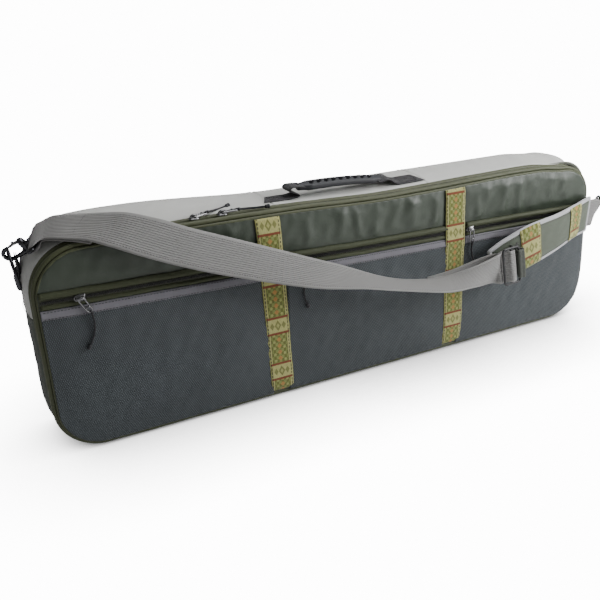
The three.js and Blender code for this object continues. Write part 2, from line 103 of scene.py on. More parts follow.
class Value:
    """A node's output that adds, scales and compares like a number."""

    def __init__(self, nodes, socket):
        self.nodes, self.socket = nodes, socket

    def __abs__(self):
        return self.nodes.math("ABSOLUTE", self)

    __add__, __radd__ = operator("ADD"), operator("ADD", True)
    __sub__, __rsub__ = operator("SUBTRACT"), operator("SUBTRACT", True)
    __mul__, __truediv__, __mod__ = operator("MULTIPLY"), operator("DIVIDE"), operator("MODULO")
    __lt__, __gt__ = operator("LESS_THAN"), operator("GREATER_THAN")


class Nodes:
    """Short names for building a material's node tree."""

    def __init__(self, name):
        self.mat = bpy.data.materials.new(name)
        self.mat.use_nodes = True
        self.tree = self.mat.node_tree
        self.bsdf = self.tree.nodes["Principled BSDF"]
        uv = self.tree.nodes.new("ShaderNodeUVMap")
        uv.uv_map = "UVMap"
        sep = self.tree.nodes.new("ShaderNodeSeparateXYZ")
        self.uv = Value(self, uv.outputs[0])
        self.put(self.uv, sep.inputs[0])
        self.u, self.v = Value(self, sep.outputs[0]), Value(self, sep.outputs[1])

    def put(self, value, socket):
        """Link a value to a socket, or set a number or a colour on it."""
        if isinstance(value, Value):
            self.tree.links.new(value.socket, socket)
        else:
            socket.default_value = (*value, 1) if isinstance(value, tuple) else value

    def math(self, op, a, b=0.0, c=0.0):
        n = self.tree.nodes.new("ShaderNodeMath")
        n.operation = op
        for value, socket in zip((a, b, c), n.inputs):
            self.put(value, socket)
        return Value(self, n.outputs[0])

    def wave(self, x, pitch):
        """0 to 1 and back once per pitch."""
        return self.math("MULTIPLY_ADD", self.math("SINE", self.math("MULTIPLY_ADD", x, 2 * math.pi / pitch)), 0.5, 0.5)

    def noise(self, scale, detail=3.0, rough=0.55, stretch=None):
        n = self.tree.nodes.new("ShaderNodeTexNoise")
        source = self.uv
        if stretch:
            m = self.tree.nodes.new("ShaderNodeMapping")
            m.inputs["Scale"].default_value = (*stretch, 1)
            self.put(self.uv, m.inputs["Vector"])
            source = Value(self, m.outputs[0])
        for key, value in (("Scale", scale), ("Detail", detail), ("Roughness", rough), ("Vector", source)):
            self.put(value, n.inputs[key])
        return Value(self, n.outputs["Fac"])

    def mix(self, fac, a, b):
        n = self.tree.nodes.new("ShaderNodeMix")
        n.data_type = "RGBA"
        for value, socket in ((fac, 0), (a, 6), (b, 7)):
            self.put(value, n.inputs[socket])
        return Value(self, n.outputs[2])

    def ramp(self, fac, low, high):
        n = self.tree.nodes.new("ShaderNodeMapRange")
        for value, socket in ((fac, 0), (low, 1), (high, 2)):
            self.put(value, n.inputs[socket])
        return Value(self, n.outputs[0])

    def finish(self, color, rough, height, depth, strength=0.6, sheen=0.0, coat=0.0, metal=0.0, spec=0.5):
        bump = self.tree.nodes.new("ShaderNodeBump")
        for key, value in (("Strength", strength), ("Distance", depth), ("Height", height)):
            self.put(value, bump.inputs[key])
        for key, value in (("Base Color", color), ("Roughness", rough), ("Metallic", metal), ("Sheen Weight", sheen),
                           ("Sheen Roughness", 0.4), ("Coat Weight", coat), ("Coat Roughness", 0.12),
                           ("Specular IOR Level", spec), ("Normal", Value(self, bump.outputs[0]))):
            self.put(value, self.bsdf.inputs[key])
        return self.mat


def shade(c, k):
    return tuple(min(1.0, x * k) for x in c)


def cloth(name, c, rough=0.75, pitch=0.0009, depth=0.0002, vary=0.16, sheen=0.15, blotch=9, spec=0.4, strength=0.6):
    """Plain-weave cloth: over and under threads, slubs, and slow colour drift."""
    n = Nodes(name)
    weave = n.wave(n.u, pitch) * n.wave(n.v, pitch)
    slub = n.noise(420, 2, 0.6, (1, 0.12))
    drift = n.noise(blotch, 4, 0.6)
    col = n.mix(weave * 0.35 + slub * 0.5, shade(c, 1 - vary), shade(c, 1 + vary))
    col = n.mix(n.ramp(drift, 0.3, 0.75), col, n.mix(0.5, col, shade(c, 1 - 0.6 * vary)))
    return n.finish(col, rough - 0.06 + drift * 0.12, weave + slub * 0.4, depth, strength, sheen, spec=spec)


def webbing(name, c, half, rib=0.0027, rough=0.7, vary=0.17):
    """Woven strap: ribs along its length, a tight cross weave and a smooth selvedge with a stitched line."""
    n = Nodes(name)
    across, seam = abs(n.v), half - 0.0046
    ribs = n.wave(n.v, rib)
    weave = n.wave(n.u + n.v * 0.5, 0.0011)
    edge = n.ramp(across, seam, half - 0.0038)
    line = 1.0 - n.math("MINIMUM", abs(across - seam) * 1400.0, 1.0)
    line = line * n.ramp(n.wave(n.u, 0.0032), 0.25, 0.5)
    drift = n.noise(14, 4, 0.6)
    col = n.mix(ribs * 0.55 + weave * 0.45, shade(c, 1 - vary), shade(c, 1 + vary))
    for fac, k in ((edge * 0.6, 1.12), (line * 0.9, 0.3), (drift * 0.25, 0.78)):
        col = n.mix(fac, col, shade(c, k))
    height = ribs * (1.2 - edge) + weave * 0.3 - line
    return n.finish(col, rough - 0.08 + drift * 0.16, height, 0.0007, 0.85, 0.2, spec=0.45)


def pocket_mesh_cloth(name, c):
    """Coated mesh: a staggered grid of raised yarn knots over a dark ground, with fine ribs along it."""
    n = Nodes(name)
    pitch, half_row = 0.0024, n.v * 0.5
    knots = n.ramp(n.wave(n.u + half_row, pitch) * n.wave(n.u - half_row, pitch), 0.12, 0.55)
    ribs = n.wave(n.v, 0.0014)
    col = n.mix(ribs * 0.4, shade(c, 0.38), shade(c, 0.75))
    col = n.mix(knots * 0.75, col, shade(c, 1.65))
    col = n.mix(n.ramp(n.noise(6, 4, 0.55), 0.35, 0.75), col, n.mix(0.35, col, shade(c, 1.3)))
    return n.finish(col, 0.7 - knots * 0.25, ribs * 0.25 + knots, 0.0004, 0.6, 0.1, spec=0.45)


def ribbon_cloth(name, half, phase):
    """Woven ribbon: green checks with warm dots, pale bands of small diamonds, dark red bars and a pale dashed
    border. u runs across it, v along it."""
    n = Nodes(name)
    period, pale_end, bar, cell = 0.067, 0.0224, 0.0016, 0.0036
    olive, green, straw, dark = (0.165, 0.175, 0.035), (0.28, 0.32, 0.095), (0.53, 0.51, 0.20), (0.085, 0.090, 0.024)
    warm, moss, red, thread_tint = (0.56, 0.27, 0.085), (0.17, 0.18, 0.045), (0.22, 0.036, 0.016), (0.10, 0.10, 0.035)
    t = (n.v + (phase + 20 * period)) % period
    across = abs(n.u)

    def diamond(x, y, at_y, wide, tall):
        return (abs(across - x) / wide + abs(y - at_y) / tall) < 1.0

    def over(fac, strength, below, above):
        return n.mix(fac * strength, below, above)

    cu, cv = n.math("FLOOR", (n.u + 10.5 * cell) / cell), n.math("FLOOR", t / (1.35 * cell))
    col = n.mix((cu + cv) % 2.0, olive, green)
    step = (t + 0.002) % 0.0092
    col = over(diamond(0.0, step, 0.0046, 0.0034, 0.0038), 0.85, col, warm)
    col = over(diamond(0.0066, step, 0.0016, 0.0022, 0.0022), 0.6, col, straw)
    col = over(abs(across - (half - 0.0056)) < 0.0005, 0.7, col, dark)
    pale = straw
    for x, wide, tall, k, tint in ((0.0, 0.0046, 0.0078, 0.85, moss), (0.0, 0.0021, 0.0036, 0.8, straw),
                                   (0.0080, 0.0030, 0.0052, 0.8, moss)):
        pale = over(diamond(x, t, pale_end / 2, wide, tall), k, pale, tint)
    col = n.mix(t < pale_end, col, pale)
    col = n.mix(across > half - 0.0051, col, straw)
    dash = (abs(across - (half - 0.0028)) < 0.0008) * (n.wave(n.v, 0.0054) > 0.38)
    col = over(dash, 0.85, col, dark)
    for at in (0.0, pale_end, period):
        col = over((abs(t - at) < bar) * (across < half - 0.0016), 0.95, col, red)
    col = n.mix(across > half - 0.0009, col, dark)
    thread = n.noise(900, 2, 0.6, (1, 0.3))
    col = n.mix(n.ramp(thread, 0.3, 0.75) * 0.45, col, thread_tint)
    return n.finish(col, 0.78, n.wave(n.v, 0.0008) + thread * 0.8, 0.00025, 0.7, 0.2, spec=0.3)


def metal(name, c, rough=0.25, spots=0.3):
    n = Nodes(name)
    wear = n.noise(160, 4, 0.6)
    col = n.mix(wear * spots, c, shade(c, 1.7))
    return n.finish(col, rough - 0.08 + wear * 0.16, n.noise(900, 2), 0.00003, 0.4, metal=1.0)


def plastic(name, c, rough=0.45, grain=700, coat=0.0, depth=0.00006):
    n = Nodes(name)
    drift = n.noise(30, 3)
    col = n.mix(drift, shade(c, 0.8), shade(c, 1.25))
    return n.finish(col, rough - 0.05 + drift * 0.1, n.noise(grain, 3, 0.6), depth, 0.5, coat=coat)


GREY = (0.59, 0.595, 0.57)
OLIVE = (0.041, 0.055, 0.037)
PIPE = (0.072, 0.082, 0.036)
M = {
    "grey": cloth("grey_cloth", GREY, 0.62, 0.0011, 0.0001, 0.07, 0.1, 7, strength=0.4),
    "olive": cloth("olive_nylon", OLIVE, 0.47, 0.0010, 0.00008, 0.2, 0.0, 8, 0.55, strength=0.35),
    # The folds' cloth is the olive nylon made lighter and yellower: a painted highlight on the rolled folds.
    "fold": cloth("folded_nylon_painted_highlight", (0.056, 0.065, 0.034), 0.6, 0.0010, 0.0001, 0.2, 0.0, 20, 0.25),
    "olive_back": cloth("olive_pack_cloth", shade(OLIVE, 0.95), 0.6, 0.0014, 0.00025, 0.2, 0.1, 8),
    "piping": cloth("piping_cloth", PIPE, 0.52, 0.0009, 0.00015, 0.2, 0.05, 30, 0.5),
    "lining": cloth("lining_cloth", (0.15, 0.16, 0.13), 0.6, 0.0010, 0.00015, 0.15, 0.05, 8),
    "lining_pad": cloth("divider_cloth", (0.035, 0.04, 0.036), 0.8, 0.0016, 0.0003, 0.25, 0.3, 12),
    "tape": cloth("zip_tape", (0.046, 0.053, 0.030), 0.7, 0.0012, 0.0002, 0.3, 0.1, 30),
    "binding": cloth("binding_tape", (0.195, 0.19, 0.215), 0.7, 0.0010, 0.0003, 0.16, 0.2, 20),
    "pad": cloth("pad_cloth", (0.105, 0.124, 0.092), 0.68, 0.0012, 0.00022, 0.16, 0.15, 12),
    "pad_binding": cloth("pad_binding_tape", (0.55, 0.55, 0.57), 0.7, 0.0010, 0.0003, 0.15, 0.2, 25),
    "thread_dark": cloth("dark_thread", (0.03, 0.03, 0.032), 0.6, 0.0005, 0.0001, 0.3, 0.2, 50),
    "thread_pale": cloth("pale_thread", (0.33, 0.33, 0.31), 0.6, 0.0005, 0.0001, 0.2, 0.2, 50),
    "strap": webbing("strap_webbing_cloth", (0.26, 0.256, 0.251), 0.023),
    "black_web": webbing("black_webbing_cloth", (0.022, 0.022, 0.025), 0.0125, 0.0019, 0.62, 0.35),
    "pad_web": webbing("dark_green_webbing_cloth", (0.045, 0.052, 0.04), 0.022, 0.0019, 0.65, 0.3),
    "coil": plastic("zip_coil", (0.020, 0.021, 0.020), 0.35, 300),
    "mesh": pocket_mesh_cloth("mesh_cloth", (0.061, 0.073, 0.080)),
    "gunmetal": metal("gunmetal_plating", (0.20, 0.20, 0.205), 0.2),
    "black_metal": metal("black_coated_metal", (0.060, 0.060, 0.066), 0.24, 0.3),
    "black_plastic": plastic("black_acetal", (0.018, 0.018, 0.020), 0.42),
    "grip": plastic("grip_rubber", (0.030, 0.032, 0.037), 0.55, 500, 0.0, 0.0001),
    "cord": cloth("pull_cord_braid", (0.018, 0.019, 0.023), 0.6, 0.0011, 0.0003, 0.4, 0.2, 60),
    "vinyl": plastic("clear_vinyl_sheet", (0.56, 0.575, 0.57), 0.16, 12, 0.9, 0.0004),
    "knot": plastic("cord_end_bead", (0.018, 0.019, 0.022), 0.5, 400),
}


# ------------------------------------------------------------------ mesh helpers
def unit(v):
    v = np.asarray(v, float)
    return v / np.linalg.norm(v)


def square_to(v, a):
    """v without its part along the unit vector a, made unit length."""
    v = np.asarray(v, float)
    return unit(v - a * v.dot(a))


def lengths(P):
    """Running length along a path of points."""
    return np.concatenate([[0], np.cumsum(np.linalg.norm(np.diff(P, axis=0), axis=1))])


def point_at(s, d, P):
    """The point of path P whose running length in d is s."""
    return np.array([np.interp(s, d, P[:, k]) for k in range(3)])


def grid(a, b):
    return np.meshgrid(a, b, indexing="ij")


def rim_distance(X, Y, x0, x1, y0, y1):
    """Distance inside a rectangle."""
    return np.minimum(np.minimum(X - x0, x1 - X), np.minimum(Y - y0, y1 - Y))
def obj_from(name, verts, faces, uvs, mat, smooth=True):
    """Object from points in millimetres, faces, and one UV (in metres) per face corner."""
    me = bpy.data.meshes.new(name)
    me.from_pydata([tuple(v) for v in np.asarray(verts, float) * 0.001], [], faces)
    layer = me.uv_layers.new(name="UVMap")
    layer.data.foreach_set("uv", np.asarray(uvs, np.float32).ravel())
    me.materials.append(mat)
    me.polygons.foreach_set("use_smooth", [smooth] * len(faces))
    me.update()
    o = bpy.data.objects.new(name, me)
    bpy.context.scene.collection.objects.link(o)
    return o


def arc(P):
    """Mean running length down the rows of a grid."""
    step = np.linalg.norm(np.diff(P, axis=0), axis=2).mean(1)
    return np.concatenate([[0], np.cumsum(step)]) * 0.001


def grid_normals(C):
    du = np.gradient(C, axis=0)
    dv = np.gradient(C, axis=1)
    n = np.cross(du, dv)
    return n / np.maximum(np.linalg.norm(n, axis=2, keepdims=True), 1e-9)


def sheet(name, C, t, mat, U=None, V=None, normal=None):
    """A closed cloth solid round a grid of middle points C (rows, columns, 3), with rounded rims."""
    n, m, _ = C.shape
    N = grid_normals(C) if normal is None else np.broadcast_to(np.asarray(normal, float), C.shape)
    f = np.ones((n, m, 1))
    f[0] = f[-1] = f[:, 0] = f[:, -1] = 0.5
    h = t if np.isscalar(t) else np.asarray(t)[..., None]
    top, bot = C + N * h / 2 * f, C - N * h / 2 * f
    U = arc(C) if U is None else np.asarray(U, float)
    V = arc(C.transpose(1, 0, 2)) if V is None else np.asarray(V, float)
    if U.ndim == 1:
        U = np.broadcast_to(U[:, None], (n, m))
    if V.ndim == 1:
        V = np.broadcast_to(V[None, :], (n, m))
    uv = np.stack([U.ravel(), V.ravel()], 1)
    uv = np.concatenate([uv, uv])
    k = n * m
    ids = np.arange(k).reshape(n, m)
    q = np.stack([ids[:-1, :-1], ids[1:, :-1], ids[1:, 1:], ids[:-1, 1:]], -1).reshape(-1, 4)
    faces = [tuple(x) for x in q] + [tuple(x[::-1] + k) for x in q]
    rim = np.concatenate([ids[0, :], ids[1:, -1], ids[-1, -2::-1], ids[-2:0:-1, 0]])
    faces += [(p, r, r + k, p + k) for p, r in zip(rim, np.roll(rim, -1))]
    flat = np.concatenate([np.array(x) for x in faces])
    return obj_from(name, np.concatenate([top.reshape(-1, 3), bot.reshape(-1, 3)]), faces, uv[flat], mat)


def tube(name, path, r, mat, sides=10, closed=False, up_hint=(0, 0, 1), squash=1.0, radii=None):
    """A tube along a path, its rings turned as little as possible."""
    P = np.asarray(path, float)
    T = (np.roll(P, -1, 0) - np.roll(P, 1, 0)) if closed else np.gradient(P, axis=0)
    T /= np.maximum(np.linalg.norm(T, axis=1, keepdims=True), 1e-9)
    ref = np.asarray(up_hint, float)
    prev = ref - T[0] * ref.dot(T[0])
    if np.linalg.norm(prev) < 1e-3:
        prev = np.cross(T[0], [1, 0.3, 0.2])
    a = np.linspace(0, 2 * math.pi, sides, endpoint=False)
    loops = []
    for i, p in enumerate(P):
        prev = square_to(prev, T[i])
        ri = r if radii is None else radii[i]
        loops.append(p + ri * (np.cos(a)[:, None] * prev * squash + np.sin(a)[:, None] * np.cross(T[i], prev)))
    return rings(name, np.array(loops), mat, closed)


def rings(name, R, mat, closed=False):
    """Skin over rings of points R (rings, points, 3); ends are capped when open."""
    n, m, _ = R.shape
    L = lengths(R.mean(1)) * 0.001
    middle = R[n // 2]
    around = lengths(np.vstack([middle, middle[:1]])) * 0.001
    close_len = np.linalg.norm(R[0].mean(0) - R[-1].mean(0)) * 0.001
    verts = R.reshape(-1, 3)
    faces, uvs = [], []
    for i in range(n if closed else n - 1):
        j = (i + 1) % n
        u0, u1 = L[i], (L[-1] + close_len if j == 0 else L[j])
        for k in range(m):
            l = (k + 1) % m
            faces.append((i * m + k, i * m + l, j * m + l, j * m + k))
            uvs += [(u0, around[k]), (u0, around[k + 1]), (u1, around[k + 1]), (u1, around[k])]
    if not closed:
        for base, order in ((0, range(m - 1, -1, -1)), ((n - 1) * m, range(m))):
            faces.append(tuple(base + k for k in order))
            offs = [verts[base + k] - verts[base] for k in order]
            uvs += [(p[0] * 0.001, p[2] * 0.001) for p in offs]
    return obj_from(name, verts, faces, uvs, mat)


def boxes(name, items, mat):
    """Many small chamfered bars in one mesh. Each item is (centre, along, up, length, width, height)."""
    verts, faces, uvs = [], [], []
    for c, a, w, l, b, h in items:
        a = unit(a)
        w = square_to(w, a)
        s = np.cross(w, a)
        k = len(verts)
        for z, q in ((-0.5, 1.0), (0.2, 1.0), (0.5, 0.62)):
            for x, y in ((-0.5, -0.5), (0.5, -0.5), (0.5, 0.5), (-0.5, 0.5)):
                verts.append(np.asarray(c) + a * l * x * q + s * b * y * q + w * h * z)
        fs = [(0, 3, 2, 1), (8, 9, 10, 11)]
        for r in (0, 4):
            fs += [(r + i, r + (i + 1) % 4, r + 4 + (i + 1) % 4, r + 4 + i) for i in range(4)]
        for f in fs:
            faces.append(tuple(k + i for i in f))
            uvs += [(0.001 * l * x, 0.001 * b * y) for x, y in ((0, 0), (1, 0), (1, 1), (0, 1))]
    return obj_from(name, verts, faces, uvs, mat, False)


def stitch_row(path, normal, pitch=4.0, fill=0.66, w=0.55, h=0.5):
    """Stitches along a path of points, standing h above it; normal is one vector or one per point."""
    P = np.asarray(path, float)
    N = np.broadcast_to(np.asarray(normal, float), P.shape)
    d = lengths(P)
    items = []
    for s in np.arange(pitch / 2, d[-1] - pitch / 3, pitch):
        c = point_at(s, d, P)
        items.append((c, point_at(s + 0.5, d, P) - c, point_at(s, d, N), pitch * fill, w, h))
    return items


def crossed_box(x0, x1, y0, y1):
    """Runs of points along a sewn box and its diagonals, as pairs of coordinate arrays."""
    c = [(x0, y0), (x1, y0), (x1, y1), (x0, y1), (x0, y0), (x1, y1), (x1, y0), (x0, y1)]
    return [(np.linspace(a, p, 12), np.linspace(b, q, 12)) for (a, b), (p, q) in zip(c, c[1:])]
def catmull(rows, count):
    """Uniform Catmull-Rom through rows of numbers, as the CAD's edges run."""
    R = np.asarray(rows, float)
    n = len(R)
    out = []
    for p in np.linspace(0, n - 1, count):
        i = min(int(p), n - 2)
        t = p - i
        p1, p2 = R[i], R[i + 1]
        p0 = R[i - 1] if i > 0 else 2 * R[0] - R[1]
        p3 = R[i + 2] if i + 2 < n else 2 * R[-1] - R[-2]
        v0, v1 = (p2 - p0) / 2, (p3 - p1) / 2
        out.append((2 * p1 - 2 * p2 + v0 + v1) * t**3 + (-3 * p1 + 3 * p2 - 2 * v0 - v1) * t * t + v0 * t + p1)
    return np.array(out)


def smooth(x, a, b):
    t = np.clip((np.asarray(x, float) - a) / (b - a), 0, 1)
    return t * t * (3 - 2 * t)


def waves(seed, count, low, high):
    """A fixed sum of sine waves with wavelengths between low and high, about -1 to 1."""
    g = np.random.default_rng(seed)
    lam = np.exp(g.uniform(math.log(low), math.log(high), count))
    ang, ph = g.uniform(0, math.pi, count), g.uniform(0, 6.28, count)

    def f(x, z):
        s = 0
        for l, a, p in zip(lam, ang, ph):
            s = s + np.sin(2 * math.pi * (x * math.cos(a) + z * math.sin(a)) / l + p)
        return s / math.sqrt(count)

    return f


# ------------------------------------------------------------------ the case's outline and its soft shape
HL, HT, CR = 410.0, 255.0, 58.0
CX, ZL, ZH = HL - CR, CR, HT - CR
SPLIT = 170.0
POCKET_Y = -45.3
RIB_FEET, RIB_LEAN, RIB_W = (-123.0, 152.0), 0.06, 33.0
SPANS = [(-420.0, -141.5), (-109.0, 130.5), (164.5, 420.0)]
SIDES = ("left", "centre", "right")
SEAMS = (-120.0, 107.0)


def coil_z(x):
    return 188.0 - 0.0234 * np.asarray(x, float)


def frames_round(steps=14, step=4.0):
    """Points and outward normals round the outline, from the left end of the foot over the top and back."""
    out = []
    for i, (cx, cz, start) in enumerate(((-CX, ZL, 270), (-CX, ZH, 180), (CX, ZH, 90), (CX, ZL, 0))):
        for k in range(steps + 1):
            a = math.radians(start - 90 * k / steps)
            out.append((cx + CR * math.cos(a), cz + CR * math.sin(a), math.cos(a), math.sin(a)))
        nxt = ((-HL, ZH), (CX, HT), (HL, ZL), (-CX, 0))[i]
        x0, z0, nx, nz = out[-1]
        dist = math.hypot(nxt[0] - x0, nxt[1] - z0)
        cuts = list(np.linspace(0, dist, int(dist / step) + 1)[1:-1])
        if i == 1:
            cuts = [c for c in cuts if min(abs(x0 + c - s) for s in SEAMS) > 3.4]
            cuts = sorted(cuts + [s + d - x0 for s in SEAMS for d in (-3, -1.6, -0.8, 0, 0.8, 1.6, 3)])
        for c in cuts:
            out.append((x0 + (nxt[0] - x0) * c / dist, z0 + (nxt[1] - z0) * c / dist, nx, nz))
    return np.array(out)


FR = frames_round()
TOP_WAVE_X = [-410, -365, -239, -194, -141, -91, -52, -3, 60, 125, 230, 330, 410]
TOP_WAVE_Z = [0, 1.0, 2.8, 2.4, 2.0, 1.2, -0.5, -3.0, -3.2, -2.4, 0.2, -1.0, -2.0]


def top_wave(x):
    fine = np.linspace(-410, 410, 165)
    rough = np.interp(fine, TOP_WAVE_X, TOP_WAVE_Z)
    kernel = np.hanning(19)
    soft = np.convolve(np.pad(rough, 9, mode="edge"), kernel / kernel.sum(), "valid")
    return np.interp(x, fine, soft)
def warp(P):
    """The soft sag of the filled case: its front top edge rises and dips, its back stands fuller towards the left,
    and its right end leans in towards the top."""
    P = np.array(P, float)
    x, y, z = P[..., 0], P[..., 1], P[..., 2]
    front = 1 - smooth(y, -24, 6)
    rise = smooth(-x, 90, 290) * (1 - 0.45 * smooth(-x, 320, 410))
    drop = smooth(x, 285, 350) * smooth(z, 190, 250)
    lean = smooth(x, 230, 400) * (3.0 * smooth(z, 0, 60) + 14.0 * smooth(z, 60, 215)) * (0.3 + 0.7 * front)
    fuller = 10.0 * rise * smooth(z, 185, 240) * smooth(y, -18, 34)
    P[..., 2] = z + top_wave(x) * smooth(z, 165, 250) * front + fuller - 4.5 * drop
    P[..., 0] = x - lean
    return P


RIPPLE = waves(3, 7, 60, 190)
FINE = waves(5, 8, 16, 42)
FOLDS = [(-392, 5, 1.0), (-342, 7, 0.9), (-300, 8, 1.3), (-262, 6, 1.2), (-222, 9, 1.4), (-182, 6, 1.6), (-150, 4, 1.5),
         (-86, 6, 1.8), (-61, 5, 1.5), (-38, 7, 2.6), (-12, 5, 1.5), (14, 8, 2.3), (44, 6, 1.6), (70, 9, 2.0), (104, 6, 1.4),
         (176, 5, 1.8), (196, 7, 2.5), (224, 8, 2.0), (252, 6, 1.5), (281, 9, 1.6), (318, 8, 1.1), (352, 10, 0.9)]


def edge_distance(x, z):
    """Distance inside the outline."""
    x, z = np.asarray(x, float), np.asarray(z, float)
    ax = np.abs(x) - CX
    dz_low, dz_high = z, HT - z
    flat = np.minimum(np.minimum(dz_low, dz_high), HL - np.abs(x))
    low = CR - np.hypot(np.maximum(ax, 0), np.maximum(ZL - z, 0))
    high = CR - np.hypot(np.maximum(ax, 0), np.maximum(z - ZH, 0))
    in_low, in_high = (ax > 0) & (z < ZL), (ax > 0) & (z > ZH)
    return np.where(in_low, low, np.where(in_high, high, flat))


def rib_distance(x, z):
    return np.minimum(*[np.abs(x - (f - RIB_LEAN * z)) for f in RIB_FEET])


def front_out(x, z, pocket=False):
    """How far the front stands out of its flat plane, in millimetres."""
    x, z = np.asarray(x, float), np.asarray(z, float)
    d = edge_distance(x, z) - 7
    body = 1 - np.exp(-np.maximum(d, 0) / 22)
    c = coil_z(x)
    seam = np.exp(-(((z - c) / 15) ** 2))
    out = 2.6 * body * (1 - 0.82 * seam) + 0.5 * body * RIPPLE(x, z) * (1 - np.exp(-(((z - c) / 26) ** 2)))
    out = out - 0.5 * (1 - smooth(rib_distance(x, z), 12, 40)) * body
    if pocket:
        belly = smooth(z, 8, 60) * (1 - smooth(z, 110, coil_z(x) - 14))
        loose = smooth(rib_distance(x, z), 16, 60) * body
        out = out + 1.8 * belly * loose + 0.35 * FINE(x, z) * loose * (1 - seam)
    else:
        up_part = smooth(z, c + 10, c + 22) * (1 - smooth(z, 236, 249))
        free = smooth(rib_distance(x, z), 13, 26)
        folds = 0
        for i, (fx, w, amp) in enumerate(FOLDS):
            lean = 0.16 * math.sin(i * 2.3)
            centre = fx + lean * (z - 220) + 2.0 * np.sin(z / 17.0 + i)
            reach = 0.55 + 0.45 * np.sin(z / 23.0 + 1.7 * i)
            folds = folds + amp * reach * np.exp(-(((x - centre) / w) ** 2))
        out = out + (1.55 * folds + 0.45 * FINE(x, z)) * up_part * free
        out = out + 1.3 * up_part * free * smooth(x, -60, 220)
    pucker = 0.35 * np.sin(x / 1.9) * np.exp(-np.maximum(d, 0) / 5)
    return out + pucker


def z_span(x, inset):
    ax = np.abs(x) - CX
    r = CR - inset
    h = np.sqrt(np.maximum(r * r - np.maximum(ax, 0) ** 2, 0))
    low = np.where(ax > 0, ZL - h, inset)
    high = np.where(ax > 0, ZH + h, HT - inset)
    return low, high


def columns(x0, x1, inset, step=3.5):
    """x positions from x0 to x1, closer together round the corners of the outline."""
    end = HL - inset
    x0, x1 = max(x0, -end), min(x1, end)
    r = CR - inset
    xs = list(np.arange(math.ceil(max(x0, -CX) / step) * step, min(x1, CX), step))
    for sign in (-1, 1):
        for k in range(13):
            x = sign * (CX + r * math.sin(math.pi / 2 * k / 12))
            if x0 - 1e-6 <= x <= x1 + 1e-6:
                xs.append(x)
    xs += [x0, x1]
    xs = sorted(xs)
    keep = [xs[0]]
    for x in xs[1:]:
        if x - keep[-1] > 0.35:
            keep.append(x)
    keep[-1] = x1
    return np.array(keep)


def panel_grid(x0, x1, inset, low=None, high=None, rows=60, step=3.5):
    xs = columns(x0, x1, inset, step)
    zl, zh = z_span(xs, inset)
    if low is not None:
        zl = np.maximum(zl, low(xs))
    if high is not None:
        zh = np.minimum(zh, high(xs))
    t = np.linspace(0, 1, rows)
    Z = zl[:, None] + (zh - zl)[:, None] * t
    return np.broadcast_to(xs[:, None], Z.shape), Z


def front_sheet(name, x0, x1, inset, y, t, mat, low=None, high=None, rows=60, pocket=False, lift=None, step=3.5):
    X, Z = panel_grid(x0, x1, inset, low, high, rows, step)
    Y = y - front_out(X, Z, pocket)
    if lift is not None:
        Y = Y - lift(X, Z)
    C = warp(np.stack([X, Y, Z], -1))
    return sheet(name, C, t, mat, X * 0.001, Z * 0.001, normal=(0, -1, 0))


def flat_sheet(name, X, Y, Z, t, mat, facing):
    """A warped cloth over a grid in X and Z, with its UVs straight from them, thickened along Y."""
    return sheet(name, warp(np.stack([X, Y, Z], -1)), t, mat, X * 0.001, Z * 0.001, normal=(0, facing, 0))
def on_front(x, z, y, pocket=False):
    """A point on the front at depth layer y."""
    x, z = np.broadcast_arrays(np.asarray(x, float), np.asarray(z, float))
    return warp(np.stack([x, y - front_out(x, z, pocket), z], -1))


def put(o, body, slot, *nodes):
    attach(o, body)
    if nodes:
        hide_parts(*nodes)
    return o

def bridge(o, slot, a, b, start, end, *nodes):
    """Hides the given CAD nodes and bakes the piece's transform into its mesh, without attaching it to a body; a and b
    are not used.
    """
    if nodes:
        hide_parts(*nodes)
    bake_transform(o)
# ------------------------------------------------------------------ free cords on the zip pulls
PULL_REACH, CORD_R = 19.7, 1.3
POCKET_X = (-361.0, -98.0, 167.0)
POCKET_LEAN = (28, 12, 8)
POCKET_PULL_Y = POCKET_Y - 7.1
POCKET_CORDS = ([(0, 0), (1.5, -14), (-1, -28), (-8, -42)], [(0, 0), (1, -14), (1, -30), (6, -45)],
                [(0, 0), (0, -12), (6, -28), (22, -45)])
MAIN_X, MAIN_TURN, MAIN_Y, MAIN_PULL_Z = (-222.0, -188.0), (24, 3), -33.4, 260.9
MAIN_CORDS = ([(0, 0, 0), (13, 8, -1.6), (24, 14, -2.2), (33, 18, -1.8)],
              [(0, 0, 0), (12, 2, -1.4), (24, 1, -2), (38, -1.5, -1.6)])
BEAD = [(-3.4, 1.5), (-2.6, 2.2), (-1.2, 2.5), (-0.8, 2.1), (-0.2, 2.1), (0.2, 2.6), (1.6, 2.7), (2.6, 2.2), (3.1, 1.2)]


def cord_piece(kind, side, route):
    """A braided cord with a moulded bead on its end."""
    name, body = f"{kind}_cord_{side}", f"{kind}_pull_{side}"
    pts = catmull(route, 22)
    curve = bpy.data.curves.new(name + "_braid", "CURVE")
    curve.dimensions = "3D"
    spline = curve.splines.new("POLY")
    spline.points.add(len(pts) - 1)
    for p, q in zip(spline.points, pts):
        p.co = (*(q * 0.001), 1)
    curve.bevel_depth, curve.bevel_resolution, curve.use_fill_caps = CORD_R * 0.001, 3, True
    curve.materials.append(M["cord"])
    o = bpy.data.objects.new(name + "_braid", curve)
    bpy.context.scene.collection.objects.link(o)
    put(o, body, "pull_cord", name)
    way = unit(pts[-1] - pts[-3])
    path = np.array([pts[-1] + way * (a - 0.6) for a, _ in BEAD])
    bead = tube(name + "_braid_bead", path, 1, M["knot"], 16, radii=[r for _, r in BEAD])
    put(bead, body, "pull_cord")


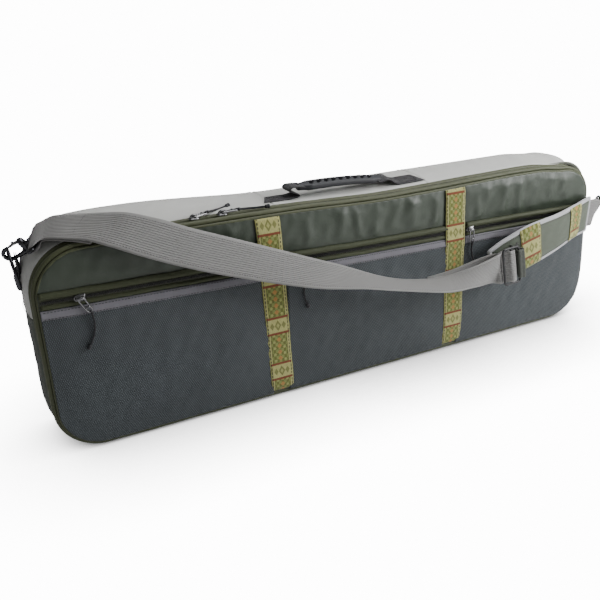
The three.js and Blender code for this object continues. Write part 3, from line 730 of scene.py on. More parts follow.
for side, x, lean, offs in zip(SIDES, POCKET_X, POCKET_LEAN, POCKET_CORDS):
    a = math.radians(lean)
    sx, sz = x + math.sin(a) * PULL_REACH, float(coil_z(x)) - math.cos(a) * PULL_REACH
    cord_piece("pocket", side, [(sx + dx, POCKET_PULL_Y, sz + dz) for dx, dz in offs])
for side, x, turn, offs in zip(("left", "right"), MAIN_X, MAIN_TURN, MAIN_CORDS):
    a = math.radians(turn)
    sx, sy = x + math.cos(a) * PULL_REACH, MAIN_Y + math.sin(a) * PULL_REACH
    cord_piece("main", side, [(sx + dx, sy + dy, MAIN_PULL_Z + dz) for dx, dy, dz in offs])


# ------------------------------------------------------------------ case shell
def round_path(F, inset, y, floor):
    """A path set in from the outline's frames F, at depth y, kept at least floor above the ground."""
    P = np.stack([F[:, 0] - F[:, 2] * inset, y + 0 * F[:, 0], F[:, 1] - F[:, 3] * inset], 1)
    P[:, 2] = np.maximum(P[:, 2], floor)
    return P


def round_grid(F, inset, y):
    """A grid set in from the outline's frames F, at depths y."""
    x, z, nx, nz = (F[:, i][:, None] for i in range(4))
    return np.stack(np.broadcast_arrays(x - nx * inset, y, z - nz * inset), -1)


def wall_bulge(y):
    """The wall cloth's rise over its depth, from none at its seams to 1 between them."""
    return np.clip(1 - ((y - 10) / 31.0) ** 2, 0, 1)


def gusset_skin(name, frames, mat, slot, node):
    """The cloth wall between the case's front piping and its back seam."""
    prof = [(2.6, -24.4), (1.4, -23.6), (0.7, -22.4), (0.25, -20.8)]
    prof += [(0, y) for y in np.linspace(-18, 37, 18)] + [(0.15, 39.4), (0.6, 41.4), (1.3, 42.6), (2.6, 43.2)]
    inset, y = np.array(prof).T[:, None]
    fx, fz, _, nz = (frames[:, i][:, None] for i in range(4))
    left = smooth(-fx, 60, 360) * (0.35 + 0.65 * smooth(fz, 20, 150))
    crown = 1.6 + 4.0 * left * (1 - 0.45 * smooth(-fx, 300, 360)) + 1.2 * smooth(fx, 300, 410)
    flat_foot = smooth(fz, 2, 30)
    mid = wall_bulge(y)
    handle = np.exp(-(((fx + 10) / 150) ** 2)) * (nz > 0.9)
    s = np.arange(len(frames))[:, None] * 4.0
    out = crown * mid * flat_foot * (1 - 0.9 * handle)
    out = out + mid * flat_foot * (0.35 * FINE(s, y * 1.6) + 0.5 * RIPPLE(s, y)) * (1 - 0.6 * handle)
    for seam in SEAMS:
        out = out - 0.8 * np.exp(-(((fx - seam) / 1.1) ** 2)) * (nz > 0.9)
        out = out + 0.5 * np.exp(-((np.abs(fx - seam) - 3.0) / 1.6) ** 2) * (nz > 0.9)
    C = round_grid(frames, -(out - inset), y)
    C[..., 2] = np.maximum(C[..., 2], 0.75)
    put(sheet(name, warp(C), 1.3, mat), "case", slot, node)


def frames_between(z0):
    """The outline's upper part, from z0 on the left over the top to z0 on the right, and the lower part."""
    side = (FR[:, 1] > z0) & ((np.abs(FR[:, 0]) > HL - 1) | (FR[:, 1] > ZH - 1))
    rest = FR[~side]
    start = next(i for i in range(len(rest)) if rest[i, 0] > HL - 1)
    left, right = np.array([[-HL, z0, -1, 0]]), np.array([[HL, z0, 1, 0]])
    return np.vstack([left, FR[side], right]), np.vstack([right, rest[start:], rest[:start], left])


UPPER, LOWER = frames_between(SPLIT)
gusset_skin("case_top_cloth", UPPER, M["grey"], "grey_nylon", "gusset_top")
gusset_skin("case_base_cloth", LOWER, M["olive_back"], "green_nylon", "gusset_base")

# Seam stitches where the grey cloth meets the green, and along the two cross seams on top.
items = []
for sx, bulge in ((-1, 5.2), (1, 2.2)):
    ys = np.linspace(-16, 38, 20)
    P = np.stack([sx * (HL + 0.9 + bulge * wall_bulge(ys) * 0.93), ys, np.full(20, SPLIT + 2.4)], 1)
    items += stitch_row(P, (sx, 0, 0), 3.6)
for seam in SEAMS:
    P = np.stack([np.full(20, seam + 3.2), np.linspace(-14, 38, 20), np.full(20, HT + 1.35)], 1)
    items += stitch_row(warp(P), (0, 0, 1), 3.6)
put(boxes("case_seam_stitches", items, M["thread_pale"]), "case", "grey_nylon")

X, Z = panel_grid(-HL, HL, 0.9, rows=64)
d = edge_distance(X, Z)
Y = 42.6 + 2.6 * (1 - np.exp(-np.maximum(d, 0) / 9)) + (0.5 * RIPPLE(X + 900, Z) + 0.25 * FINE(X, Z)) * smooth(d, 4, 40)
Y = Y + 0.3 * np.sin(X / 2.1 + Z / 2.3) * np.exp(-np.maximum(d, 0) / 5)
put(flat_sheet("case_back_cloth", X, Y, Z, 1.3, M["olive_back"], 1), "case", "green_nylon", "back_panel")


def roll(name, inset, y, r, body, node):
    """Piping: a cloth-covered cord all round the outline, slightly uneven."""
    jog = waves(int(100 + r * 7), 6, 30, 120)
    s = np.arange(len(FR)) * 4.0
    P = round_path(FR, inset + 0.25 * jog(s, s * 0), y + 0.3 * jog(s + 500, s * 0), r)
    radii = r * (1 + 0.035 * jog(s + 900, s * 0))
    put(tube(name, warp(P), r, M["piping"], 14, True, (0, 1, 0), radii=radii), body, "green_piping", node)


roll("case_piping_roll", 3.5, -26.5, 3.5, "case", "case_piping")
roll("lid_piping_roll", 3.0, -39.5, 3.0, "lid", "lid_piping")

# Inner welts that the panels are sewn to, just inside each piping.
for name, y, inset, body in (("case_welt", -23.9, 5.4, "case"), ("lid_welt", -43.6, 6.3, "lid")):
    P = warp(round_path(FR, inset, y, 2.4))
    put(tube(name, P, 1.7, M["piping"], 10, True, (0, 1, 0)), body, "green_piping")
# ------------------------------------------------------------------ main zip
ZIP_N = next(i for i in range(len(FR)) if FR[i, 0] > CX - 1 and FR[i, 1] < 0.5) + 1
ZF = FR[:ZIP_N]

def zip_half(body, prof, teeth_y, first):
    """Half of the main zip on one shell: its tape, and a row of teeth that starts at length first."""
    inset, y = np.array(prof).T[:, None]
    C = round_grid(ZF, inset, y)
    C[..., 2] = np.maximum(C[..., 2], 1.2)
    put(sheet(f"{body}_zip_tape", warp(C), 0.9, M["tape"]), body, "zip", f"{body}_zip_half")
    P = warp(round_path(ZF, 3.3, teeth_y, 1.5))
    N = np.stack([ZF[:, 2], 0 * ZF[:, 2], ZF[:, 3]], 1)
    d = lengths(P)
    items = [(point_at(s, d, P), (0, 1, 0), point_at(s, d, N), 2.3, 1.35, 1.5) for s in np.arange(first, d[-1] - 2, 2.2)]
    put(boxes(f"{body}_zip_teeth", items, M["coil"]), body, "zip")


zip_half("case", [(3.6, -24.6), (3.5, -27), (3.5, -29.5), (3.4, -32.2)], -33.0, 2.1)
zip_half("lid", [(3.6, -40.5), (3.5, -38.5), (3.5, -36.5), (3.4, -34.6)], -33.9, 1.0)

# ------------------------------------------------------------------ lid front, pockets and ribbons
FOLD = [(1.9, 0.4), (1.55, -0.6), (1.0, -1.25), (0.3, -1.6), (-0.35, -1.65), (-0.9, -1.35), (-1.25, -0.7), (-1.3, 0.3)]
o = front_sheet("lid_front_cloth", -HL, HL, 6.2, -44.4, 1.2, M["olive"], rows=96, step=2.8)
put(o, "lid", "green_nylon", "lid_panel")


def below_coil(dz):
    """The height dz from the pocket zip's coil, as a function of x."""
    return lambda x: coil_z(x) + dz


for side, (x0, x1) in zip(SIDES, SPANS):
    o = front_sheet(f"pocket_mesh_{side}_cloth", x0 - 5, x1 + 5, 6.6, -46.4, 0.9, M["mesh"],
                    high=below_coil(-9), rows=70, pocket=True, step=3)
    put(o, "lid", "pocket_mesh", f"pocket_mesh_{side}")
    low, high = below_coil(-20), below_coil(-9.3)
    X, Z = panel_grid(x0 - 5, x1 + 5, 7.0, low, high, 10, 2)
    t = (Z - low(X)) / (high(X) - low(X))
    crown = 0.9 * np.clip(1 - (2 * t - 1) ** 4, 0, 1) + 0.18 * np.sin(X / 1.3) * np.abs(2 * t - 1)
    Y = -46.9 - front_out(X, Z, True) - crown
    o = flat_sheet(f"pocket_binding_{side}_tape", X, Y, Z, 0.9, M["binding"], -1)
    put(o, "lid", "binding", f"pocket_binding_{side}")
    xs = np.arange(max(x0, -HL + 9), min(x1, HL - 9), 2.0)
    items = []
    for off in (-18.6, -10.8):
        items += stitch_row(on_front(xs, coil_z(xs) + off, -48.45, True), (0, -1, 0), 3.6, 0.62, 0.6, 0.5)
    put(boxes(f"pocket_stitches_{side}", items, M["thread_dark"]), "lid", "binding")

    # Zip tape with its coil, and the folds of green cloth above and below it; the folds use a lighter, yellower copy of
    # the olive nylon, a painted highlight.
    X, Z = panel_grid(x0 - 4, x1 + 4, 7.0, below_coil(-8.7), below_coil(8), 8, 4)
    o = flat_sheet(f"pocket_zip_{side}_tape", X, -46.0 - front_out(X, Z), Z, 0.8, M["tape"], -1)
    put(o, "lid", "zip", f"pocket_zip_{side}")
    items = []
    for row, dz in enumerate((-0.85, 0.85)):
        xr = np.arange(xs[0] + row, xs[-1], 1.9)
        items += [(p, (0.25, 0, 2 * row - 1), (0, -1, 0), 2.0, 1.1, 1.4) for p in on_front(xr, coil_z(xr) + dz, -47.0)]
    put(boxes(f"pocket_coil_{side}", items, M["coil"]), "lid", "zip")
    for label, dz, r in (("upper", 6.4, 2.7), ("lower", -6.2, 1.9)):
        ax = np.arange(max(x0 - 4, -HL + 7.5), min(x1 + 4, HL - 7.5), 3.0)
        base = on_front(ax, coil_z(ax) + dz + 0.35 * RIPPLE(ax * 2, ax * 0 + 40 * dz), -46.3)
        R = np.array([[p + np.array([0, b * r * 0.72, a * r * 0.85]) for a, b in FOLD] for p in base])
        put(rings(f"pocket_fold_{side}_{label}", R[:, ::-1], M["fold"]), "lid", "green_nylon")

RIB_LOW, RIB_HIGH = 9.5, 247.5
for side, foot, ph in (("left", RIB_FEET[0], 0.067 - 0.0285), ("right", RIB_FEET[1], 0.067 - 0.0390)):
    u = np.linspace(-RIB_W / 2, RIB_W / 2, 13)
    Z, U = grid(np.linspace(RIB_LOW, RIB_HIGH, 130), u)
    mid = foot - RIB_LEAN * Z
    X = mid + U
    coil = coil_z(X)
    over = smooth(Z, coil - 24, coil - 15) * (1 - smooth(Z, coil + 9, coil + 16))
    Y = -47.2 - front_out(mid, Z, True) * (Z < coil) - front_out(mid, Z) * (Z >= coil) - 2.1 * over
    kernel = np.hanning(13)
    kernel = kernel / kernel.sum()
    padded = np.vstack([np.repeat(Y[:1], 6, 0), Y, np.repeat(Y[-1:], 6, 0)])
    Y = sum(kernel[k] * padded[k:k + len(Y)] for k in range(13))
    edge_curl = (np.abs(U) / (RIB_W / 2)) ** 6
    Y = Y + 0.5 * edge_curl - 0.22 * np.sin(Z / 2.4 + U / 9) * edge_curl
    Y = Y + 1.6 * np.exp(-(Z - RIB_LOW) / 4.0) + 1.2 * np.exp(-(RIB_HIGH - Z) / 3.0)
    C = warp(np.stack([X, Y, Z], -1))
    weave = ribbon_cloth(f"patterned_ribbon_{side}", RIB_W / 2000, ph)
    o = sheet(f"ribbon_{side}_weave", C, 0.8, weave, normal=(0, -1, 0))
    co = np.array([v.co for v in o.data.vertices])
    co = co[[l.vertex_index for l in o.data.loops]]
    uv = np.stack([co[:, 0] - (foot * 0.001 - RIB_LEAN * co[:, 2]), co[:, 2]], 1)
    o.data.uv_layers["UVMap"].data.foreach_set("uv", uv.astype(np.float32).ravel())
    put(o, "lid", "patterned_ribbon", f"ribbon_{side}")
    items = []
    for s in (-1, 1):
        k = np.argmin(np.abs(u - s * (RIB_W / 2 - 2.2)))
        items += stitch_row(C[:, k] + np.array([0, -0.5, 0]), (0, -1, 0), 4.4, 0.6, 0.55, 0.45)
    put(boxes(f"ribbon_{side}_stitches", items, M["thread_dark"]), "lid", "patterned_ribbon")


# ------------------------------------------------------------------ inside
def quilting(X):
    return np.exp(-((np.mod(X + 350, 140) - 70) / 2.5) ** 2)


prof = [(5.2, -22.9), (7.2, -23.4), (8.6, -22.7), (9.1, -21), (9.3, -8), (9.4, 8), (9.3, 26), (9.6, 31.5), (10.8, 34),
        (13, 35), (16, 35.3)]
inset, y = np.array(prof).T[:, None]
s = np.arange(len(FR))[:, None] * 4.0
C = round_grid(FR, inset - 0.25 * FINE(s, y * 2) * (y > -20), y)
C = np.concatenate([C, C[:1]], 0)
put(sheet("case_lining_wall", C, 0.7, M["lining"]), "case", "lining", "case_lining", "case_padding")
X, Z = panel_grid(-HL, HL, 14.5, rows=50, step=5)
d = edge_distance(X, Z) - 14.5
Y = 35.4 + 0.35 * FINE(X + 77, Z) * smooth(d, 0, 15) + 0.9 * quilting(X) * smooth(d, 0, 10)
C = np.stack([X, Y, Z], -1)
put(sheet("case_lining_back", C, 0.7, M["lining"], X * 0.001, Z * 0.001, normal=(0, -1, 0)), "case", "lining")
X, Z = panel_grid(-HL, HL, 6.9, rows=50, step=5)
d = edge_distance(X, Z) - 6.9
Y = -34.9 - 4.2 * np.exp(-np.maximum(d, 0) / 1.8) + 0.3 * FINE(X - 40, Z) * smooth(d, 2, 15)
Y = Y - 0.6 * quilting(X) * smooth(d, 2, 12)
put(flat_sheet("lid_lining_cloth", X, Y, Z, 0.7, M["lining"], 1), "lid", "lining", "lid_lining", "lid_padding")

# Padded divider: a soft board with rounded rims, sagging a little between its ends.
DIVIDER_Z = 120
xs = np.linspace(-328, 328, 90)
X, Y = grid(xs, np.linspace(-27, 33.4, 22))
rim = rim_distance(X, Y, -328, 328, -27, 33.4)
thick = 2.0 + 4.0 * np.clip(rim / 7, 0, 1) ** 0.6 + 0.3 * FINE(X, Y)
Z = DIVIDER_Z + 0.5 * RIPPLE(X, Y) * smooth(rim, 0, 20)
divider = sheet("divider_pad", np.stack([X, Y, Z], -1), thick, M["lining_pad"])
put(divider, "case", "foam", "padded_divider")
items = []
for s in (-1, 1):
    items += stitch_row(np.stack([xs, np.full(90, -24.6), np.full(90, DIVIDER_Z + s * 2.1)], 1), (0, 0, s), 4.5)
put(boxes("divider_stitches", items, M["thread_pale"]), "case", "foam")
for side, x in (("left", -210), ("right", 210)):
    z, u = np.linspace(22.5, 107.5, 30), np.linspace(-12.4, 12.4, 7)
    Z, U = grid(z, u)
    Y = 33.2 - 1.6 * np.sin((Z - 22) / 85 * math.pi) ** 2
    C = np.stack([x + U, Y, Z], -1)
    o = sheet(f"rod_strap_{side}_web", C, 1.4, M["black_web"], z * 0.001, u * 0.001)
    put(o, "case", "black_webbing", f"rod_strap_{side}")
    items = []
    for zz in (26, 103.5):
        P = np.stack([np.linspace(x - 10, x + 10, 8), np.full(8, 32.0), np.full(8, zz)], 1)
        items += stitch_row(P, (0, -1, 0), 3.2)
    put(boxes(f"rod_strap_{side}_stitches", items, M["thread_pale"]), "case", "black_webbing")

# The cloth hinge along the foot, between the case and the lid.
X, Y = grid(np.linspace(-342, 342, 120), np.linspace(-40.5, -25.5, 16))
Z = 1.15 + 0.9 * np.sin(np.clip((Y + 40.5) / 15, 0, 1) * math.pi) + 0.15 * FINE(X, Y)
o = sheet("hinge_cloth", np.stack([X, Y, Z], -1), 0.9, M["olive_back"])
bridge(o, "green_nylon", "case", "lid", (0, -0.0285, 0), (0, -0.0375, 0), "hinge_strip")

# ------------------------------------------------------------------ card window
X, Y = grid(np.linspace(-55, 41, 40), np.linspace(10, 41, 18))
rim = rim_distance(X, Y, -55, 41, 10, 41)
Z = 256.6 + 0.5 * np.exp(-((rim - 2.4) / 1.6) ** 2) - 0.3 * smooth(rim, 4, 6)
put(sheet("card_window_frame", np.stack([X, Y, Z], -1), 1.2, M["binding"]), "case", "binding", "card_window")
X, Y = grid(np.linspace(-50, 36, 44), np.linspace(15, 36.5, 14))
Z = 257.25 + 0.28 * RIPPLE(X * 3, Y * 3) + 0.15 * FINE(X, Y)
put(sheet("card_window_vinyl", np.stack([X, Y, Z], -1), 0.5, M["vinyl"]), "case", "clear_vinyl")
loop = [(-52.6, 12.4), (38.6, 12.4), (38.6, 38.6), (-52.6, 38.6), (-52.6, 12.4)]
P = np.concatenate([np.linspace((*a, 257.7), (*b, 257.7), 12)[:-1] for a, b in zip(loop, loop[1:])])
put(boxes("card_window_stitches", stitch_row(P, (0, 0, 1), 3.4), M["thread_dark"]), "case", "binding")

# ------------------------------------------------------------------ carry handle
HY, HW = -6.0, 25.0


def handle_web(side, pts, skew, stitch_x):
    """Webbing from its sewn end on the top cloth up and round the grip's end loop."""
    name = f"handle_webbing_{side}"
    R = catmull([(x, 0, z) for x, z in pts], 12 * len(pts))
    u = np.linspace(-HW / 2, HW / 2, 11)
    C = R[:, None, :] + np.stack([0 * u, HY + u, 0 * u], 1)[None]
    C[..., 0] += skew * u[None] * np.clip(1 - np.arange(len(R)) / 26.0, 0, 1)[:, None]
    C[..., 2] += (C[..., 2] < 258) * 0.9
    o = sheet(name + "_strip", warp(C), 1.5, M["black_web"], None, u * 0.001)
    bridge(o, "black_webbing", "case", "handle", (0, HY * 0.001, 0.2580), (0, HY * 0.001, 0.2645), name)
    items = []
    for x, y in crossed_box(*stitch_x, -9, 9):
        items += stitch_row(warp(np.stack([x, HY + y, np.full(12, 258.25)], 1)), (0, 0, 1), 3.0, 0.62, 0.5, 0.4)
    put(boxes(name + "_strip_stitches", items, M["thread_dark"]), "case", "black_webbing")


handle_web("left", [(-123, 256.2), (-106, 256.2), (-92, 256.2), (-83, 257.4), (-80.5, 260.6), (-87, 263.4), (-93, 266.6),
                    (-90, 270.4), (-81, 270.6), (-72, 269.6)], 0.45, (-117, -97))
handle_web("right", [(103, 256.2), (84, 256.2), (68, 256.4), (60, 259.5), (54, 263.6), (48.5, 265.2), (42, 264.6),
                     (35, 263.6)], -0.3, (72, 96))

# Moulded grip with slanted crescent slots across its top.
GRIP_X0, GRIP_X1, GRIP_LEFT, GRIP_RIGHT, GRIP_HALF, GRIP_RISE, SLOTS = -77.5, 41.5, 268.0, 262.5, 11.4, 4.7, 9
SLOT_DEEP, SLOT_WIDE, SLOT_REACH = 4.0, 3.1, 0.78


def squarish(v):
    return np.sign(v) * np.abs(v) ** 0.72


gx = np.linspace(GRIP_X0, GRIP_X1, 200)
t = (gx - GRIP_X0) / (GRIP_X1 - GRIP_X0)
full = (0.58 + 0.42 * smooth(np.minimum(t, 1 - t), 0.0, 0.14))[:, None]
a = np.linspace(0, 2 * math.pi, 64, endpoint=False)[None]
across = full * squarish(np.cos(a))
h = GRIP_RISE * (0.72 + 0.28 * full) * squarish(np.sin(a))
x = np.broadcast_to(gx[:, None], across.shape)
cut = np.zeros_like(across)
pitch = (GRIP_X1 - GRIP_X0) * 0.8 / SLOTS
for i in range(SLOTS):
    curve = GRIP_X0 + 0.115 * (GRIP_X1 - GRIP_X0) + (i + 0.5) * pitch + 3.4 * across - 4.6 * across ** 2
    width = SLOT_WIDE * np.clip(1 - (np.abs(across) / SLOT_REACH) ** 4, 0, 1)
    q = np.abs(x - curve) / np.maximum(width, 0.01)
    cut = np.maximum(cut, (1 - smooth(q, 0.62, 1.0)) * (width > 0.1))
lip = 0.4 * smooth(np.abs(across), 0.74, 0.84) * (1 - smooth(np.abs(across), 0.9, 0.98))
level = (GRIP_LEFT + (GRIP_RIGHT - GRIP_LEFT) * t + 2 * np.sin(math.pi * t))[:, None]
R = np.stack([x, HY + GRIP_HALF * across, level + h + (np.sin(a) > 0.15) * (lip - SLOT_DEEP * cut)], -1)
put(rings("handle_grip_moulding", R[:, ::-1], M["grip"]), "handle", "grip_rubber", "handle_grip")


# ------------------------------------------------------------------ D-rings, tabs and snap hooks
def basis(at, x_dir, z_dir):
    """A turned frame: its origin, and its X, Y and Z directions as rows."""
    x = unit(x_dir)
    z = square_to(z_dir, x)
    return np.array(at, float), np.array([x, np.cross(z, x), z])


def local(B, P):
    return B[0] + np.asarray(P, float) @ B[1]


def join_as(name, objs):
    """Several meshes made into one piece."""
    verts, faces, uvs, mats, slots = [], [], [], [], []
    for o in objs:
        me = o.data
        k = len(verts)
        verts += [tuple(v.co * 1000) for v in me.vertices]
        if me.materials[0] not in mats:
            mats.append(me.materials[0])
        uvd = me.uv_layers["UVMap"].data
        for p in me.polygons:
            faces.append(tuple(k + v for v in p.vertices))
            slots.append(mats.index(me.materials[0]))
            uvs += [tuple(uvd[l].uv) for l in p.loop_indices]
        bpy.data.objects.remove(o)
    new = obj_from(name, verts, faces, uvs, mats[0])
    for m in mats[1:]:
        new.data.materials.append(m)
    new.data.polygons.foreach_set("material_index", slots)
    return new


def prism(outline, z0, z1, mat, B, chamfer):
    """A plate from an outline in local X and Y with chamfered rims, placed by basis B."""
    P = np.array(outline, float)
    c = P.mean(0)
    reach = np.maximum(np.linalg.norm(P - c, axis=1, keepdims=True), 1e-6)
    layers = [(chamfer, z0), (0, z0 + chamfer), (0, z1 - chamfer), (chamfer, z1)]
    R = [local(B, np.column_stack([c + (P - c) * (1 - q / reach), np.full(len(P), z)])) for q, z in layers]
    o = rings("plate", np.array(R), mat)
    for p in o.data.polygons:
        p.use_smooth = False
    return o


def wire(B, pts, r, mat, sides, closed, up, squash=1.0):
    """A tube through points in basis B. r is one radius or one per point; up is the number of B's row."""
    pts = np.array([local(B, p) for p in pts])
    if np.isscalar(r):
        return tube("wire", pts, r, mat, sides, closed, B[1][up], squash)
    return tube("wire", pts, 1, mat, sides, closed, B[1][up], squash, radii=r)


for side, sg, tilt in (("left", -1, 7), ("right", 1, 20)):
    half, leg, tilt = 21.0, 17.0, math.radians(tilt)
    pts = [(-half + 3, 0), (-8, 0), (8, 0), (half - 3, 0)]
    pts += [(half - 1, 0.7), (half, 3)] + [(half, y) for y in (8, 13, 17)]
    pts += [(half * math.cos(a), leg + half * math.sin(a)) for a in np.linspace(0.13, math.pi - 0.13, 26)]
    pts += [(-half, y) for y in (17, 13, 8)] + [(-half, 3), (-half + 1, 0.7)]
    B = basis((sg * 414.9, 20, 200), (0, -1, 0), (sg * math.cos(tilt), 0, sg * math.sin(tilt)))
    P = np.array([local(B, (x, y, 0)) for x, y in pts])
    o = tube(f"d_ring_{side}_wire", P, 2.1, M["black_metal"], 14, True, B[1][2])
    put(o, "case", "black_metal", f"d_ring_{side}")

TAB = [(411.2, 229), (411.2, 215), (411.3, 206), (411.5, 200), (412.6, 197.2), (414.9, 196.2), (417.2, 197.3), (418.1, 200),
       (417.2, 203), (415.2, 206.5), (413.6, 212), (413.1, 220), (413.0, 229.5)]
for side, sg in (("left", -1), ("right", 1)):
    R = catmull([(sg * x, 0, z) for x, z in TAB], 60)
    u = np.linspace(-17.6, 17.6, 11)
    C = R[:, None, :] + np.stack([0 * u, 20 + u, 0 * u], 1)[None]
    o = sheet(f"ring_tab_{side}_web", C, 1.3, M["black_web"], None, u * 0.0007)
    put(o, "case", "black_webbing", f"ring_tab_{side}")
    items = []
    for y, z in crossed_box(-14, 14, 211, 226):
        x = np.interp(z, [203, 212, 220, 230], [417.4, 414.4, 413.95, 413.85])
        items += stitch_row(np.stack([sg * x, 20 + y, z], 1), (sg, 0, 0), 3.0, 0.62, 0.5, 0.5)
    put(boxes(f"ring_tab_{side}_stitches", items, M["thread_dark"]), "case", "black_webbing")

HOOKS = {"left": ((-412.6, 8.9, 240.9), (0.78, -0.37, 0.51), (0.39, 0.88, 0.29)),
         "right": ((421.0, -8.7, 179.2), (-0.05, -0.9, -0.42), (0, -0.42, 0.9))}
CROOK = catmull([(12, 7, 0), (5, 7.1, 0), (-3, 7.1, 0), (-9, 6.4, 0), (-13, 3.6, 0), (-14, 0, 0), (-13, -3.8, 0),
                 (-9, -6.6, 0), (-3.6, -7, 0)], 40)
CROOK_R = np.interp(np.linspace(0, 1, 40), [0, 0.2, 0.55, 0.85, 1], [2.9, 2.5, 2.4, 2.3, 1.7])
HOOK_BASE = [(10.2, 9.2), (13, 9.8), (15.4, 8.0), (16.4, 3.6), (16.4, -3.6), (15.4, -7.6), (13, -9.2), (10.4, -9.0),
             (9.4, -5.5), (9.4, 5.5)]
POST = [(14.5, 3.4), (16.5, 3.4), (17.4, 2.6), (18.6, 2.6), (19.4, 3.9), (21.2, 3.9), (22.2, 3.2)]
EYE_HALF = 25.4
EYE = [(22.6, -EYE_HALF + 3), (22.3, -8), (22.3, 8), (22.6, EYE_HALF - 3), (23.6, EYE_HALF - 0.8), (25.8, EYE_HALF),
       (28.2, EYE_HALF - 0.8), (29, EYE_HALF - 3.4), (29, 8), (29, -8), (29, -EYE_HALF + 3.4), (28.2, -EYE_HALF + 0.8),
       (25.8, -EYE_HALF), (23.6, -EYE_HALF + 0.8)]
GATE = [(9.4, -7, 0), (7, -7.2, 0), (3, -7.2, 0), (-1, -7.05, 0), (-3.0, -6.8, 0)]
BARS = {}
for side, (at, along, eye) in HOOKS.items():
    B = basis(at, along, eye)
    black, bright = M["black_metal"], M["gunmetal"]
    parts = [wire(B, CROOK, CROOK_R, black, 14, False, 2), prism(HOOK_BASE, -3.4, 3.4, black, B, 0.9),
             wire(B, [(x, 0, 0) for x, _ in POST], [r for _, r in POST], black, 18, False, 2),
             wire(B, [(x, 0, z) for x, z in EYE], 1.9, black, 14, True, 1)]
    put(join_as(f"hook_{side}_body", parts), "case", "black_metal", f"hook_{side}")
    pin = [(8.6, -7, z) for z in (-2.4, -2.1, 2.1, 2.4)]
    thumb = [(4.6, y, 0) for y in (-8.6, -9.6, -10.3)]
    parts = [wire(B, GATE, [2.0, 1.9, 1.6, 1.6, 1.1], bright, 12, False, 2),
             wire(B, pin, [0.7, 1.1, 1.1, 0.7], bright, 12, False, 0),
             wire(B, thumb, [1.7, 1.6, 1.1], bright, 12, False, 2)]
    put(join_as(f"hook_gate_{side}_lever", parts), f"hook_gate_{side}", "black_metal", f"hook_gate_{side}")
    BARS[side] = (local(B, (29, 0, 0)), B[1])


# ------------------------------------------------------------------ sliders and pulls
def stadium(l, w, n=10):
    """Closed loop, long in Y, from a rounded slot outline."""
    r = w / 2
    top = [(r * math.cos(a), l / 2 - r + r * math.sin(a)) for a in np.linspace(0, math.pi, n)]
    return top + [(-x, -y) for x, y in top]


def slider(node, B):
    """Zip slider: a waisted body with a crown loop; local Y runs along the zip, Z away from the cloth."""
    outline = [(-4.4, -4.6), (-3.4, -6.4), (0, -5.6), (3.4, -6.4), (4.4, -4.6), (4.4, 1.4), (3.2, 5.2), (1.2, 6.5),
               (-1.2, 6.5), (-3.2, 5.2), (-4.4, 1.4)]
    arch = [(0, -4.3, 0.6), (0, -4.0, 2.6), (0, -1.6, 3.9), (0, 1.6, 3.9), (0, 4.0, 2.8), (0, 4.6, 0.8)]
    parts = [prism(outline, -1.0, 0.5, M["gunmetal"], B, 0.45),
             prism([(x * 0.66, y * 0.8) for x, y in outline], 0.4, 1.3, M["gunmetal"], B, 0.3),
             wire(B, catmull(arch, 22), 1.0, M["gunmetal"], 10, False, 0, squash=1.5)]
    put(join_as(node + "_body", parts), node, "gunmetal", node)


def pull(node, B):
    """Wire pull: a long loop through the crown with a pinched waist and an eye for the cord. Local Y points back to
    the slider."""
    ring = [(x, y - 8.8) for x, y in stadium(20.5, 6.2, 12)]
    ring = [(x * (1 - 0.42 * math.exp(-((y + 12.5) / 2.2) ** 2)), y, 0) for x, y in ring]
    wrap = [(2.6 * math.cos(a), -12.5, 1.5 * math.sin(a)) for a in np.linspace(0, 2 * math.pi, 20, endpoint=False)]
    loop = [(0, -17.6, 0), (0.1, -18.6, 1.1), (0, -20.2, 0.6), (0, -21.2, 0), (0, -20.2, -0.6), (0.1, -18.6, -1.1)]
    knot = [(0, y, 0) for y in (-19.6, -20.6, -21.8, -22.8)]
    parts = [wire(B, ring, 0.95, M["gunmetal"], 10, True, 2), wire(B, wrap, 0.6, M["gunmetal"], 8, True, 1),
             wire(B, catmull(loop + loop[:1], 24)[:-1], 0.9, M["cord"], 8, True, 0),
             wire(B, knot, [1.2, 2.0, 2.1, 1.4], M["knot"], 12, False, 2)]
    put(join_as(node + "_wire", parts), node, "gunmetal", node)


for side, x, lean in zip(SIDES, POCKET_X, POCKET_LEAN):
    z = float(coil_z(x))
    slider(f"pocket_slider_{side}", basis((x, -48.4 - float(front_out(x, z)), z), (0, 0, 1), (0, -1, 0)))
    a = math.radians(lean)
    pull(f"pocket_pull_{side}", basis((x, POCKET_PULL_Y, z), (math.cos(a), 0, math.sin(a)), (0, -1, 0)))
for side, x, turn in zip(("left", "right"), MAIN_X, MAIN_TURN):
    z = 255.0 + float(top_wave(x)) * 0.9
    slider(f"main_slider_{side}", basis((x, MAIN_Y, z + 1.6), (0, -1, 0), (0, 0, 1)))
    a = math.radians(turn)
    pull(f"main_pull_{side}", basis((x, MAIN_Y, MAIN_PULL_Z), (-math.sin(a), math.cos(a), 0), (0, 0, 1)))

